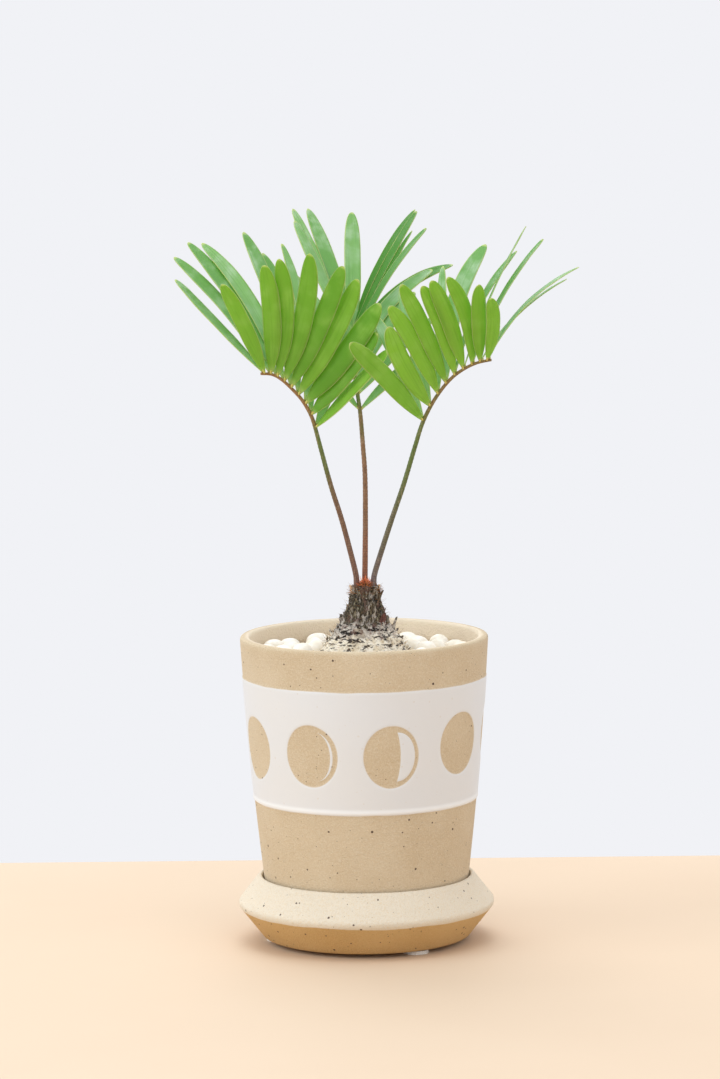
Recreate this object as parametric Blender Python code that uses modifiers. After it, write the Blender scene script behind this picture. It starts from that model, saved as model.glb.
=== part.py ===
"""Potted zamia: a small cycad with three fronds in a glazed stoneware pot on its saucer.

Standalone Blender 4.5 script, metres, +Z up. The front of the pot faces -Y. The ground is z = 0
and the origin lies in the middle of the plant's outline seen from above, so the pot's axis stands
a little to one side of it.
"""

import math
import random

import bmesh
import bpy
from mathutils import Matrix, Vector

MM = 0.001

# Seeds of the scattered details
STONE_SEED = 13
BARK_SEED = 10
WOOL_SEED = 11

# Clearance between pieces that touch, and the length that joined shapes sink into each other
CLEARANCE = 0.3 * MM
SINK = 2.0 * MM

# Where the pot's axis stands from the middle of the plant's outline
AXIS_X = -7.4 * MM
AXIS_Y = 0.3 * MM

# Stick-on pads under the saucer
PAD_RADIUS = 6.2 * MM
PAD_HEIGHT = 1.7 * MM
PAD_CIRCLE = 43.0 * MM
PAD_FIRST_ANGLE = 33.0
PAD_COUNT = 3
PAD_SIDES = 20

# Saucer
SAUCER_BASE_Z = PAD_HEIGHT + CLEARANCE
SAUCER_FOOT_RADIUS = 50.2 * MM
SAUCER_RIDGE_RADIUS = 62.6 * MM
SAUCER_RIDGE_Z = 19.0 * MM
SAUCER_LIP_RADIUS = 52.6 * MM
SAUCER_LIP_Z = 32.4 * MM
SAUCER_FLOOR_Z = 9.0 * MM
SAUCER_WELL_RADIUS = 51.1 * MM
SAUCER_WELL_FOOT_RADIUS = 49.0 * MM

# Pot
POT_BASE_Z = SAUCER_FLOOR_Z + CLEARANCE
POT_RIM_Z = 150.5 * MM
POT_WAIST_Z = 33.8 * MM
POT_WAIST_RADIUS = 50.4 * MM
POT_FLARE = 0.115
POT_BULGE = 0.24
POT_WALL = 4.9 * MM
POT_FLOOR = 6.2 * MM
POT_DRAIN_RADIUS = 7.0 * MM
POT_LIP_DEPTH = 6.0 * MM
POT_CORNER = 3.0 * MM
POT_FOOT_ROUND = 1.4 * MM
LATHE_SIDES = 48

# White glaze band with its bare clay discs
GLAZE_RELIEF = 0.3 * MM
GLAZE_EDGE = 0.35 * MM
BAND_LOW_Z = 70.5 * MM
BAND_HIGH_Z = 130.8 * MM
DISC_COUNT = 9
DISC_FIRST_ANGLE = 12.8
DISC_Z = 99.0 * MM
DISC_WIDTH = 27.4 * MM
DISC_HEIGHT = 30.6 * MM
DISC_SIDES = 16
DISC_MARGIN = 2.0 * MM

# How much higher than the others each disc is pressed, from the half-moon round to the right
DISC_RISES = (0.0, 3.2 * MM, 4.5 * MM, 2.0 * MM, 0.0, 0.0, 0.0, 0.0, 0.0)

# Soil and the white stones on it
SOIL_TOP_Z = 138.0 * MM
SOIL_SIDES = 24
SOIL_HOLE_GAP = 0.75 * MM
STONE_BED_HEIGHT = 1.8 * MM
STONE_BED_INNER = 24.6 * MM
STONE_BED_OUTER = 54.0 * MM
STONE_BED_SIDES = 24
STONE_RINGS = ((30.6 * MM, 11), (39.6 * MM, 14), (48.2 * MM, 19))
STONE_SIZE = 6.4 * MM
STONE_LIFT = 2.2 * MM
STONE_FLAT = 0.4 * MM
STONE_INNER = 23.7 * MM
STONE_OUTER = 54.2 * MM

# Least and greatest of each stone's random sizes, in shares of the stone size
STONE_SCALE = (0.86, 1.0)
STONE_LENGTH = (0.95, 1.12)
STONE_WIDTH = (0.8, 0.95)
STONE_HEIGHT = (0.72, 0.85)
STONE_TURN = (-25.0, 25.0)
STONE_SHIFT = (-3.0, 3.0)
STONE_RISE = (-0.4 * MM, 0.7 * MM)

# Trunk: height above the ground and radius, from the buried end to the crown
TRUNK_PROFILE = (
    (112.0, 5.0), (118.0, 12.5), (128.0, 19.0), (137.0, 22.6), (142.5, 21.2), (148.2, 18.2),
    (151.4, 15.4), (155.7, 12.2), (160.6, 10.3), (166.0, 8.4), (171.5, 7.5), (174.6, 6.6),
)
TRUNK_SIDES = 18
TRUNK_RIDGES = (-0.06, 0.05)
TRUNK_TOP_Z = 174.6 * MM
CROWN_X = 0.9 * MM

# Bark flakes and old leaf bases: height, angle from the front, length, width, lean outwards
BARK_FLAKES = (
    (150.0, 97.0, 8.8, 2.8, 6.0), (154.5, 54.0, 7.0, 6.0, 3.0), (164.3, 92.0, 7.0, 3.0, 2.0),
    (162.5, 268.0, 6.8, 3.5, -12.0), (157.0, 268.0, 4.5, 3.0, 2.0), (148.5, 272.0, 4.5, 4.5, 10.0),
    (166.5, 285.0, 9.0, 4.5, 6.0), (166.0, 60.0, 9.0, 4.5, 4.0), (158.0, 20.0, 10.0, 6.0, 14.0),
    (157.0, 330.0, 10.0, 6.0, 16.0), (150.0, 350.0, 9.0, 6.0, 38.0), (150.0, 140.0, 10.0, 6.0, 34.0),
    (157.0, 180.0, 10.0, 6.0, 16.0), (150.0, 215.0, 10.0, 6.0, 36.0), (165.0, 140.0, 9.0, 4.5, 8.0),
    (165.0, 220.0, 9.0, 4.5, 8.0), (165.5, 345.0, 9.0, 5.0, 8.0),
)
FLAKE_THICKNESS = 1.1 * MM

# Along each flake: share of its length, its width there and its thickness there
FLAKE_STATIONS = ((-0.35, 0.8, 2.6), (0.15, 1.0, 2.2), (0.65, 0.8, 1.0), (1.0, 0.25, 0.7))

# Woolly tuft in the crown
WOOL_CENTRE = (0.9, -1.7)
WOOL_RADIUS = 2.3 * MM
WOOL_HEIGHT = 3.2 * MM
WOOL_SIDES = 12
WOOL_POINTS = 6
WOOL_POINT_ROOT = 0.55 * MM
WOOL_POINT_TIP = 0.12 * MM
WOOL_TILT = (4.0, 16.0)
WOOL_LIFT = (0.55, 0.75)

# Leaf stalks
SOCKET_DEPTH = 7.0 * MM
SOCKET_SIDES = 12
SOCKET_CUT = 12.0 * MM
STALK_BASE_RADIUS = 1.45 * MM
STALK_MIDDLE_RADIUS = 1.05 * MM
STALK_TIP_RADIUS = 0.75 * MM
STALK_RINGS = 27
STALK_KNEE = 0.6

# Leaflets: stations along the blade, the width there and the blade's thickness
BLADE_STATIONS = (0.0, 0.09, 0.22, 0.40, 0.62, 0.80, 0.92, 1.0)
BLADE_THICKNESS = 0.7 * MM
BLADE_ROOT_WIDTH = 1.3 * MM
BLADE_SHOULDER = 0.45
BLADE_SHOULDER_POWER = 2.2
BLADE_WIDEST_END = 0.62
BLADE_TIP_POWER = 2.6
BLADE_TIP_SHARE = 0.3

# How much further apart the first leaflets stand than if all were spaced evenly
PAIR_EASE = 1.4

# Each stalk's route in millimetres from the pot's axis, the crown first. "pairs" is where the
# first and last leaflets stand, as shares of the route. Each row of leaflets runs from the stalk
# to the tip: lean is the leaflet's tilt to the right seen from the front, reach its tilt towards
# the front, turn how far the blade is turned about its own length, bow how far it arches upwards
# and sway how far it curves to the left, both as shares of its length.
FRONDS = {
    "left": {
        "route": (
            (-3.4, -1.2, 177.0), (-3.8, -1.5, 181.0), (-5.6, -2.3, 189.0), (-10.0, -4.2, 206.6),
            (-15.3, -6.4, 224.4), (-19.8, -8.3, 242.0), (-22.8, -9.6, 254.0), (-24.8, -10.4, 259.8),
            (-28.8, -12.1, 266.9), (-34.0, -14.3, 272.9), (-38.5, -16.2, 277.2),
            (-43.0, -18.0, 279.8), (-48.2, -20.2, 280.4),
        ),
        "pairs": (0.68, 0.985),
        "rows": {
            "near": {
                "lean": (42, 38, 36, 27, 23, 12, 2, -2, -23),
                "length": (59, 59, 70, 73, 74, 73, 66, 61, 55),
                "width": (9, 8.5, 9.5, 8.5, 8.5, 8.5, 8.5, 8.5, 8),
                "turn": (-62, -28, -16, -16, -14, -14, -14, -14, -20),
                "sway": (-0.03, -0.03, -0.04, -0.04, -0.03, -0.05, -0.05, -0.03, 0.0),
                "reach": (27, 27), "bow": (0.03, 0.02),
            },
            "far": {
                "lean": (18, -6, -8, -14, -17, -31, -34, -40, -44),
                "length": (52, 63, 81, 73, 81, 80, 80, 75, 64),
                "width": (7, 7, 8, 8, 8, 8, 8, 7.5, 7),
                "turn": (30, 34, 58, 34, 30, 32, 38, 52, 64),
                "sway": (-0.05, -0.02, -0.04, -0.03, -0.02, -0.03, 0.0, 0.0, 0.05),
                "reach": (-21, -15), "bow": (0.04, 0.05),
            },
        },
    },
    "middle": {
        "route": (
            (0.7, 3.0, 177.0), (0.8, 3.2, 181.0), (1.0, 4.0, 190.0), (1.3, 5.0, 208.5),
            (1.3, 6.3, 227.9), (0.4, 7.6, 243.0), (-0.7, 9.0, 258.0), (-1.9, 11.0, 267.0),
            (-3.2, 14.5, 276.5), (-3.9, 19.5, 285.0), (-3.9, 26.5, 292.5), (-3.8, 35.0, 298.0),
        ),
        "pairs": (0.655, 0.985),
        "rows": {
            "near": {
                "lean": (-39, -44, -42, -40, -38, -25, -25, -20, 0),
                "length": (48, 51, 53, 54, 54, 71, 75, 71, 64),
                "width": (7, 7.5, 8, 8, 8, 7.5, 7.5, 8, 8.5),
                "turn": (56, 44, 36, 32, 28, 52, 42, 34, 14),
                "sway": (0.05, 0.05, 0.05, 0.04, 0.04, 0.03, 0.03, 0.01, 0.0),
                "reach": (-4, -30), "bow": (0.05, 0.04),
            },
            "far": {
                "lean": (50, 46, 35, 40, 49, 33, 30, 29, 29),
                "length": (51, 53, 52, 62, 68, 71, 64, 73, 73),
                "width": (7, 8, 8, 8, 7.5, 7.5, 7, 7.5, 7),
                "turn": (-56, -46, -38, -38, -58, -62, -72, -56, -64),
                "sway": (-0.05, -0.04, -0.03, 0.03, 0.06, -0.01, -0.04, -0.03, 0.0),
                "reach": (-4, -28), "bow": (0.08, 0.06),
            },
        },
    },
    "right": {
        "route": (
            (5.0, -1.8, 177.0), (5.6, -2.2, 181.0), (8.0, -3.7, 189.0), (13.8, -6.7, 207.0),
            (19.9, -9.7, 224.9), (25.3, -12.4, 242.8), (29.0, -14.2, 254.5), (33.2, -16.3, 263.5),
            (38.0, -18.6, 271.1), (43.5, -21.3, 277.6), (49.5, -24.3, 282.2), (55.6, -27.2, 285.2),
            (62.1, -30.4, 286.8),
        ),
        "pairs": (0.655, 0.985),
        "rows": {
            "near": {
                "lean": (-40, -26, -27, -23, -19, -19, -15, -2, 2),
                "length": (71, 61, 68, 74, 65, 65, 63, 54, 44),
                "width": (9, 9, 8.5, 8, 8, 8, 7.5, 7.5, 7),
                "turn": (20, 16, 16, 16, 16, 16, 18, 18, 20),
                "sway": (0.01, 0.05, -0.01, 0.0, -0.02, -0.01, -0.05, 0.0, -0.05),
                "reach": (40, 43), "bow": (0.03, 0.02),
            },
            "far": {
                "lean": (-25, -13, 3, 17, 28, 25, 31, 48, 46),
                "length": (59, 63, 64, 72, 69, 77, 71, 59, 64),
                "width": (7.5, 8, 7, 8, 7, 6, 6.5, 6, 6.5),
                "turn": (-32, -30, -48, -30, -64, -76, -70, -74, -70),
                "sway": (0.02, 0.03, -0.01, 0.05, 0.02, -0.02, 0.0, 0.01, 0.03),
                "reach": (-22, -14), "bow": (0.05, 0.06),
            },
        },
    },
}


def clear_scene():
    """Remove every object of the starting scene."""
    for thing in list(bpy.data.objects):
        bpy.data.objects.remove(thing, do_unlink=True)


def new_collection(name):
    """Make a collection under the scene's own."""
    collection = bpy.data.collections.new(name)
    bpy.context.scene.collection.children.link(collection)
    return collection


def make_material(name, colour, roughness):
    """Make a plain material with a base colour and a roughness."""
    material = bpy.data.materials.new(name)
    material.use_nodes = True
    shader = material.node_tree.nodes["Principled BSDF"]
    shader.inputs["Base Color"].default_value = (*colour, 1.0)
    shader.inputs["Roughness"].default_value = roughness
    shader.inputs["Metallic"].default_value = 0.0
    material.diffuse_color = (*colour, 1.0)
    return material


def add_object(name, mesh, collection, material=None):
    """Link a mesh to a collection as an object with one material."""
    thing = bpy.data.objects.new(name, mesh)
    collection.objects.link(thing)
    if material is not None:
        mesh.materials.clear()
        mesh.materials.append(material)
    return thing


def mesh_from_bmesh(name, bm):
    """Turn a bmesh into a mesh with its faces pointing out."""
    bmesh.ops.recalc_face_normals(bm, faces=bm.faces)
    mesh = bpy.data.meshes.new(name)
    bm.to_mesh(mesh)
    bm.free()
    return mesh


def shade(thing, angle=35.0):
    """Shade an object smooth, with its sharp edges kept."""
    thing.data.shade_smooth()
    thing.data.set_sharp_from_angle(angle=math.radians(angle))


def bake_modifiers(thing):
    """Replace an object's mesh by its evaluated one and drop its modifiers."""
    graph = bpy.context.evaluated_depsgraph_get()
    mesh = bpy.data.meshes.new_from_object(thing.evaluated_get(graph))
    thing.modifiers.clear()
    thing.data = mesh


def boolean(thing, operation, other):
    """Give an object a Boolean with another object or with a collection of them."""
    step = thing.modifiers.new(operation.lower(), "BOOLEAN")
    step.operation = operation
    step.solver = "EXACT"
    if isinstance(other, bpy.types.Collection):
        step.operand_type = "COLLECTION"
        step.collection = other
    else:
        step.object = other


def keep_largest_body(thing):
    """Drop any loose scrap that a union leaves beside the main body."""
    bm = bmesh.new()
    bm.from_mesh(thing.data)
    waiting = set(bm.verts)
    bodies = []
    while waiting:
        body = set()
        edge_of_body = [waiting.pop()]
        while edge_of_body:
            vert = edge_of_body.pop()
            body.add(vert)
            for edge in vert.link_edges:
                other = edge.other_vert(vert)
                if other in waiting:
                    waiting.remove(other)
                    edge_of_body.append(other)
        bodies.append(body)
    bodies.sort(key=len)
    scraps = [vert for body in bodies[:-1] for vert in body]
    bmesh.ops.delete(bm, geom=scraps, context="VERTS")
    bm.to_mesh(thing.data)
    bm.free()


def join_collection(thing, collection):
    """Fuse a collection's objects into one object and remove them."""
    boolean(thing, "UNION", collection)
    bake_modifiers(thing)
    keep_largest_body(thing)
    for piece in list(collection.objects):
        bpy.data.objects.remove(piece, do_unlink=True)
    bpy.data.collections.remove(collection)


def mark_as_cutter(thing):
    """Show an object as a wire and keep it out of the render."""
    thing.hide_render = True
    thing.display_type = "WIRE"


def turned(name, profile, collection, material, sides=LATHE_SIDES):
    """Turn a profile of (radius, height) points, top to bottom on its outer side, about Z."""
    bm = bmesh.new()
    verts = [bm.verts.new((radius, 0.0, height)) for radius, height in profile]
    for first, second in zip(verts, verts[1:]):
        bm.edges.new((first, second))
    if profile[0][0] > 0.0:
        bm.edges.new((verts[-1], verts[0]))
    mesh = bpy.data.meshes.new(name)
    bm.to_mesh(mesh)
    bm.free()
    thing = add_object(name, mesh, collection, material)
    screw = thing.modifiers.new("turn", "SCREW")
    screw.steps = sides
    screw.render_steps = sides
    screw.use_merge_vertices = True
    screw.merge_threshold = 0.00001
    screw.use_smooth_shade = True
    bake_modifiers(thing)
    return thing


def front_point(angle, radius, height):
    """Place a point by its angle in degrees from the front, turning to the right."""
    turn = math.radians(angle)
    return Vector((radius * math.sin(turn), -radius * math.cos(turn), height))


def mix(pair, share):
    """Read a value between the two of a pair."""
    return pair[0] + (pair[1] - pair[0]) * share


def smooth_route(points, count):
    """Read evenly spaced points from a smooth curve through the given ones."""
    dense = []
    for index in range(len(points) - 1):
        before = points[max(index - 1, 0)]
        start, end = points[index], points[index + 1]
        after = points[min(index + 2, len(points) - 1)]
        for step in range(12):
            t = step / 12.0
            dense.append(0.5 * (
                2.0 * start + (end - before) * t
                + (2.0 * before - 5.0 * start + 4.0 * end - after) * t * t
                + (3.0 * start - before - 3.0 * end + after) * t ** 3))
    dense.append(points[-1])
    lengths = [0.0]
    for first, second in zip(dense, dense[1:]):
        lengths.append(lengths[-1] + (second - first).length)
    spaced = []
    cursor = 0
    for step in range(count):
        wanted = lengths[-1] * step / (count - 1)
        while cursor < len(dense) - 2 and lengths[cursor + 1] < wanted:
            cursor += 1
        span = lengths[cursor + 1] - lengths[cursor]
        spaced.append(dense[cursor].lerp(dense[cursor + 1], (wanted - lengths[cursor]) / span))
    return spaced


def make_pads(collection, material):
    """Three small round pads that the saucer stands on."""
    for number in range(PAD_COUNT):
        angle = PAD_FIRST_ANGLE + 360.0 * number / PAD_COUNT
        bm = bmesh.new()
        bmesh.ops.create_cone(
            bm, cap_ends=True, segments=PAD_SIDES, radius1=PAD_RADIUS, radius2=PAD_RADIUS,
            depth=PAD_HEIGHT)
        place = front_point(angle, PAD_CIRCLE, PAD_HEIGHT / 2.0)
        bmesh.ops.translate(bm, verts=bm.verts, vec=place)
        pad = add_object(
            f"saucer_pad_{number + 1}", mesh_from_bmesh("pad", bm), collection, material)
        shade(pad)


def make_saucer(collection, material):
    """Dish with a sloping upper face, a rounded ridge and a cone going in to its foot."""
    ridge = SAUCER_RIDGE_RADIUS
    floor = (
        (0.0, SAUCER_FLOOR_Z),
        (SAUCER_WELL_FOOT_RADIUS - 1.0 * MM, SAUCER_FLOOR_Z),
        (SAUCER_WELL_FOOT_RADIUS, SAUCER_FLOOR_Z + 1.0 * MM),
    )
    outside = (
        (SAUCER_WELL_RADIUS, SAUCER_LIP_Z - 0.9 * MM),
        (SAUCER_WELL_RADIUS + 0.5 * MM, SAUCER_LIP_Z),
        (SAUCER_LIP_RADIUS, SAUCER_LIP_Z - 0.2 * MM),
        (ridge - 1.6 * MM, SAUCER_RIDGE_Z + 2.6 * MM),
        (ridge - 0.3 * MM, SAUCER_RIDGE_Z + 1.0 * MM),
        (ridge, SAUCER_RIDGE_Z - 0.6 * MM),
        (ridge - 1.1 * MM, SAUCER_RIDGE_Z - 2.8 * MM),
        (SAUCER_FOOT_RADIUS + 1.6 * MM, SAUCER_BASE_Z + 1.5 * MM),
        (SAUCER_FOOT_RADIUS, SAUCER_BASE_Z),
        (0.0, SAUCER_BASE_Z),
    )
    saucer = turned("saucer", (*floor, *outside), collection, material)
    shade(saucer)


def pot_radius(height):
    """Outer radius of the bare clay at a height above the ground."""
    rise = height - POT_WAIST_Z
    return POT_WAIST_RADIUS + POT_FLARE * rise - POT_BULGE * rise * rise


def make_pot(collection, cutters, material):
    """Tapered pot with a rounded rim, a drain hole, and a glaze band set with bare discs."""
    rim = POT_RIM_Z
    floor = POT_BASE_Z + POT_FLOOR
    inner_heights = (floor + POT_CORNER, BAND_LOW_Z, rim - POT_LIP_DEPTH)
    corner = pot_radius(inner_heights[0]) - POT_WALL - POT_CORNER
    inside = [(POT_DRAIN_RADIUS, POT_BASE_Z), (POT_DRAIN_RADIUS, floor), (corner, floor)]
    inside += [(pot_radius(height) - POT_WALL, height) for height in inner_heights]
    crown = pot_radius(rim - POT_LIP_DEPTH) - POT_WALL / 2.0
    lip = (
        (crown - 1.9 * MM, rim - 1.6 * MM), (crown - 0.7 * MM, rim - 0.2 * MM), (crown + 0.5 * MM, rim),
        (crown + 1.7 * MM, rim - 0.9 * MM), (pot_radius(rim - 3.5 * MM), rim - 3.5 * MM),
    )
    above = [(pot_radius(BAND_HIGH_Z + GLAZE_EDGE), BAND_HIGH_Z + GLAZE_EDGE)]
    band_heights = (BAND_HIGH_Z - GLAZE_EDGE, DISC_Z, BAND_LOW_Z + GLAZE_EDGE)
    band = [(pot_radius(height) + GLAZE_RELIEF, height) for height in band_heights]
    below_heights = (BAND_LOW_Z - GLAZE_EDGE, POT_WAIST_Z, POT_BASE_Z + POT_FOOT_ROUND)
    below = [(pot_radius(height), height) for height in below_heights]
    foot = [(pot_radius(POT_BASE_Z) - POT_FOOT_ROUND, POT_BASE_Z)]
    pot = turned("pot", (*inside, *lip, *above, *band, *below, *foot), collection, material)

    recess = make_disc_recesses(cutters)
    mark_as_cutter(recess)
    boolean(pot, "DIFFERENCE", recess)
    bake_modifiers(pot)
    bpy.data.objects.remove(recess, do_unlink=True)
    shade(pot)


def make_disc_recesses(cutters):
    """Thin oval plates that follow the clay, to press the bare discs into the glaze band."""
    bm = bmesh.new()
    upright = Matrix.Rotation(math.radians(90.0), 3, "X")
    for number in range(DISC_COUNT):
        angle = DISC_FIRST_ANGLE + 360.0 * number / DISC_COUNT
        disc = bmesh.ops.create_cone(
            bm, cap_ends=True, segments=DISC_SIDES, radius1=DISC_WIDTH / 2.0,
            radius2=DISC_WIDTH / 2.0, depth=DISC_WIDTH)["verts"]
        bmesh.ops.scale(bm, verts=disc, vec=(1.0, DISC_HEIGHT / DISC_WIDTH, 1.0))
        bmesh.ops.rotate(bm, verts=disc, matrix=upright)
        bmesh.ops.rotate(bm, verts=disc, matrix=Matrix.Rotation(math.radians(angle), 3, "Z"))
        height = DISC_Z + DISC_RISES[number]
        bmesh.ops.translate(bm, verts=disc, vec=front_point(angle, pot_radius(height), height))
    discs = add_object("disc_shapes", mesh_from_bmesh("disc_shapes", bm), cutters)
    half = DISC_HEIGHT / 2.0 + DISC_MARGIN + max(DISC_RISES)
    heights = (DISC_Z + half, DISC_Z, DISC_Z - half)
    skin = [(pot_radius(height), height) for height in reversed(heights)]
    outside = [(pot_radius(height) + DISC_MARGIN, height) for height in heights]
    recess = turned("disc_recesses", (*skin, *outside), cutters, None)
    boolean(recess, "INTERSECT", discs)
    bake_modifiers(recess)
    bpy.data.objects.remove(discs, do_unlink=True)
    return recess


def trunk_centre(height):
    """Middle of the trunk at a height: the crown sits a little to the right of the base."""
    share = min(max((height - SOIL_TOP_Z) / (TRUNK_TOP_Z - SOIL_TOP_Z), 0.0), 1.0)
    return Vector((CROWN_X * share, 0.0, height))


def trunk_radius(height):
    """Radius of the trunk at a height above the ground."""
    rows = TRUNK_PROFILE
    for (low, small), (high, large) in zip(rows, rows[1:]):
        if height <= high * MM:
            return mix((small, large), (height / MM - low) / (high - low)) * MM
    return rows[-1][1] * MM


def make_soil(collection, material):
    """Soil that fills the pot, with a plain hole for the buried end of the trunk."""
    gap = POT_WALL + CLEARANCE
    floor = POT_BASE_Z + POT_FLOOR + CLEARANCE
    heights = (SOIL_TOP_Z, BAND_LOW_Z, floor + POT_CORNER)
    wall = [(pot_radius(height) - gap, height) for height in heights]
    corner = (wall[-1][0] - POT_CORNER, floor)
    rows = [(height * MM, radius * MM) for height, radius in TRUNK_PROFILE
            if height * MM < SOIL_TOP_Z]
    hole = [(radius + SOIL_HOLE_GAP, height) for height, radius in rows]
    top = (hole[-1][0], SOIL_TOP_Z)
    profile = ((0.0, rows[0][0] - CLEARANCE), *hole, top, *wall, corner, (0.0, floor))
    soil = turned("soil", profile, collection, material, sides=SOIL_SIDES)
    shade(soil)


def make_stones(collection, material):
    """White stones packed in three rings round the trunk, on a thin bed that joins them."""
    draw = random.Random(STONE_SEED)
    low = SOIL_TOP_Z + CLEARANCE
    high = low + STONE_BED_HEIGHT
    bed = turned(
        "pebbles",
        ((STONE_BED_INNER, low), (STONE_BED_INNER, high), (STONE_BED_OUTER, high),
         (STONE_BED_OUTER, low)),
        collection, material, sides=STONE_BED_SIDES)
    stones = new_collection("stone_shapes")
    for ring, (radius, count) in enumerate(STONE_RINGS):
        for number in range(count):
            angle = 360.0 * (number + 0.5 * ring) / count + draw.uniform(*STONE_SHIFT)
            bm = bmesh.new()
            bmesh.ops.create_cube(bm, size=2.0)
            bmesh.ops.subdivide_edges(bm, edges=bm.edges, cuts=1, use_grid_fill=True)
            for vert in bm.verts:
                vert.co.normalize()
            size = STONE_SIZE * draw.uniform(*STONE_SCALE)
            squeeze = Vector((draw.uniform(*STONE_LENGTH), draw.uniform(*STONE_WIDTH),
                              draw.uniform(*STONE_HEIGHT))) * size
            bmesh.ops.scale(bm, verts=bm.verts, vec=squeeze)
            turn = Matrix.Rotation(math.radians(angle + draw.uniform(*STONE_TURN)), 3, "Z")
            bmesh.ops.rotate(bm, verts=bm.verts, matrix=turn)
            place = front_point(angle, radius, low + STONE_LIFT + draw.uniform(*STONE_RISE))
            bmesh.ops.translate(bm, verts=bm.verts, vec=place)
            flatten_below(bm, low + STONE_FLAT)
            keep_between(bm, STONE_INNER, STONE_OUTER)
            add_object(f"stone_{ring}_{number}", mesh_from_bmesh("stone", bm), stones)
    join_collection(bed, stones)
    shade(bed)


def flatten_below(bm, height):
    """Cut off what lies below a height and close the cut."""
    everything = list(bm.verts) + list(bm.edges) + list(bm.faces)
    bmesh.ops.bisect_plane(
        bm, geom=everything, plane_co=(0.0, 0.0, height), plane_no=(0.0, 0.0, -1.0),
        clear_outer=True)
    rim = [edge for edge in bm.edges if edge.is_boundary]
    bmesh.ops.edgeloop_fill(bm, edges=rim)


def keep_between(bm, inner, outer):
    """Press points that stray past two radii back to them."""
    for vert in bm.verts:
        reach = Vector((vert.co.x, vert.co.y)).length
        held = min(max(reach, inner), outer)
        vert.co.x *= held / reach
        vert.co.y *= held / reach


def make_trunk(collection, material):
    """Flared trunk with ridged bark, loose flakes and sockets for the three stalks."""
    draw = random.Random(BARK_SEED)
    bm = bmesh.new()
    rings = []
    for row, (height, radius) in enumerate(TRUNK_PROFILE):
        ring = []
        buried = height * MM < SOIL_TOP_Z
        for side in range(TRUNK_SIDES):
            ridge = 0.0 if buried else draw.uniform(*TRUNK_RIDGES)
            angle = 360.0 * (side + 0.5 * (row % 2)) / TRUNK_SIDES
            offset = front_point(angle, radius * MM * (1.0 + ridge), 0.0)
            ring.append(bm.verts.new(trunk_centre(height * MM) + offset))
        rings.append(ring)
    for row, (lower, upper) in enumerate(zip(rings, rings[1:])):
        shift = row % 2
        for side in range(TRUNK_SIDES):
            after = (side + 1) % TRUNK_SIDES
            if shift:
                bm.faces.new((lower[side], lower[after], upper[after]))
                bm.faces.new((lower[side], upper[after], upper[side]))
            else:
                bm.faces.new((lower[side], lower[after], upper[side]))
                bm.faces.new((lower[after], upper[after], upper[side]))
    bm.faces.new(rings[0])
    bm.faces.new(rings[-1])
    trunk = add_object("caudex", mesh_from_bmesh("caudex", bm), collection, material)

    flakes = new_collection("flake_shapes")
    for number, (height, angle, length, width, lean) in enumerate(BARK_FLAKES):
        add_object(
            f"flake_{number}",
            make_flake(height * MM, angle, length * MM, width * MM, lean), flakes)
    join_collection(trunk, flakes)

    sockets = new_collection("socket_shapes")
    for side, frond in FRONDS.items():
        foot = stalk_foot(frond)
        bm = bmesh.new()
        radius = STALK_BASE_RADIUS + CLEARANCE
        depth = SOCKET_DEPTH + SOCKET_CUT
        bmesh.ops.create_cone(
            bm, cap_ends=True, segments=SOCKET_SIDES, radius1=radius, radius2=radius, depth=depth)
        lift = foot.z - CLEARANCE + depth / 2.0
        bmesh.ops.translate(bm, verts=bm.verts, vec=(foot.x, foot.y, lift))
        add_object(f"socket_{side}", mesh_from_bmesh("socket", bm), sockets)
    boolean(trunk, "DIFFERENCE", sockets)
    bake_modifiers(trunk)
    for piece in list(sockets.objects):
        bpy.data.objects.remove(piece, do_unlink=True)
    bpy.data.collections.remove(sockets)
    shade(trunk, 25.0)


def make_flake(height, angle, length, width, lean):
    """Thin pointed scale of bark, rooted in the trunk, that stands away from it at its top."""
    root = front_point(angle, trunk_radius(height) - SINK, 0.0) + trunk_centre(height)
    outwards = front_point(angle, 1.0, 0.0)
    sideways = Vector((0.0, 0.0, 1.0)).cross(outwards)
    tilt = math.radians(lean)
    along = outwards * math.sin(tilt) + Vector((0.0, 0.0, 1.0)) * math.cos(tilt)
    depth = sideways.cross(along)
    bm = bmesh.new()
    rings = []
    for share, wide, thick in FLAKE_STATIONS:
        middle = root + along * length * share - outwards * SINK * (1.0 - max(share, 0.0)) * 0.6
        across = sideways * width * wide / 2.0
        through = depth * FLAKE_THICKNESS * thick / 2.0
        corners = (across + through, -across + through, -across - through, across - through)
        rings.append([bm.verts.new(middle + corner) for corner in corners])
    loft(bm, rings)
    return mesh_from_bmesh("flake", bm)


def loft(bm, rings):
    """Skin rings of four points with triangles that run alike on opposite faces."""
    for lower, upper in zip(rings, rings[1:]):
        for start, end, flip in ((0, 1, False), (1, 2, False), (2, 3, True), (3, 0, True)):
            if flip:
                bm.faces.new((lower[start], lower[end], upper[start]))
                bm.faces.new((lower[end], upper[end], upper[start]))
            else:
                bm.faces.new((lower[start], lower[end], upper[end]))
                bm.faces.new((lower[start], upper[end], upper[start]))
    bm.faces.new(rings[0])
    bm.faces.new(rings[-1])


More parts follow.
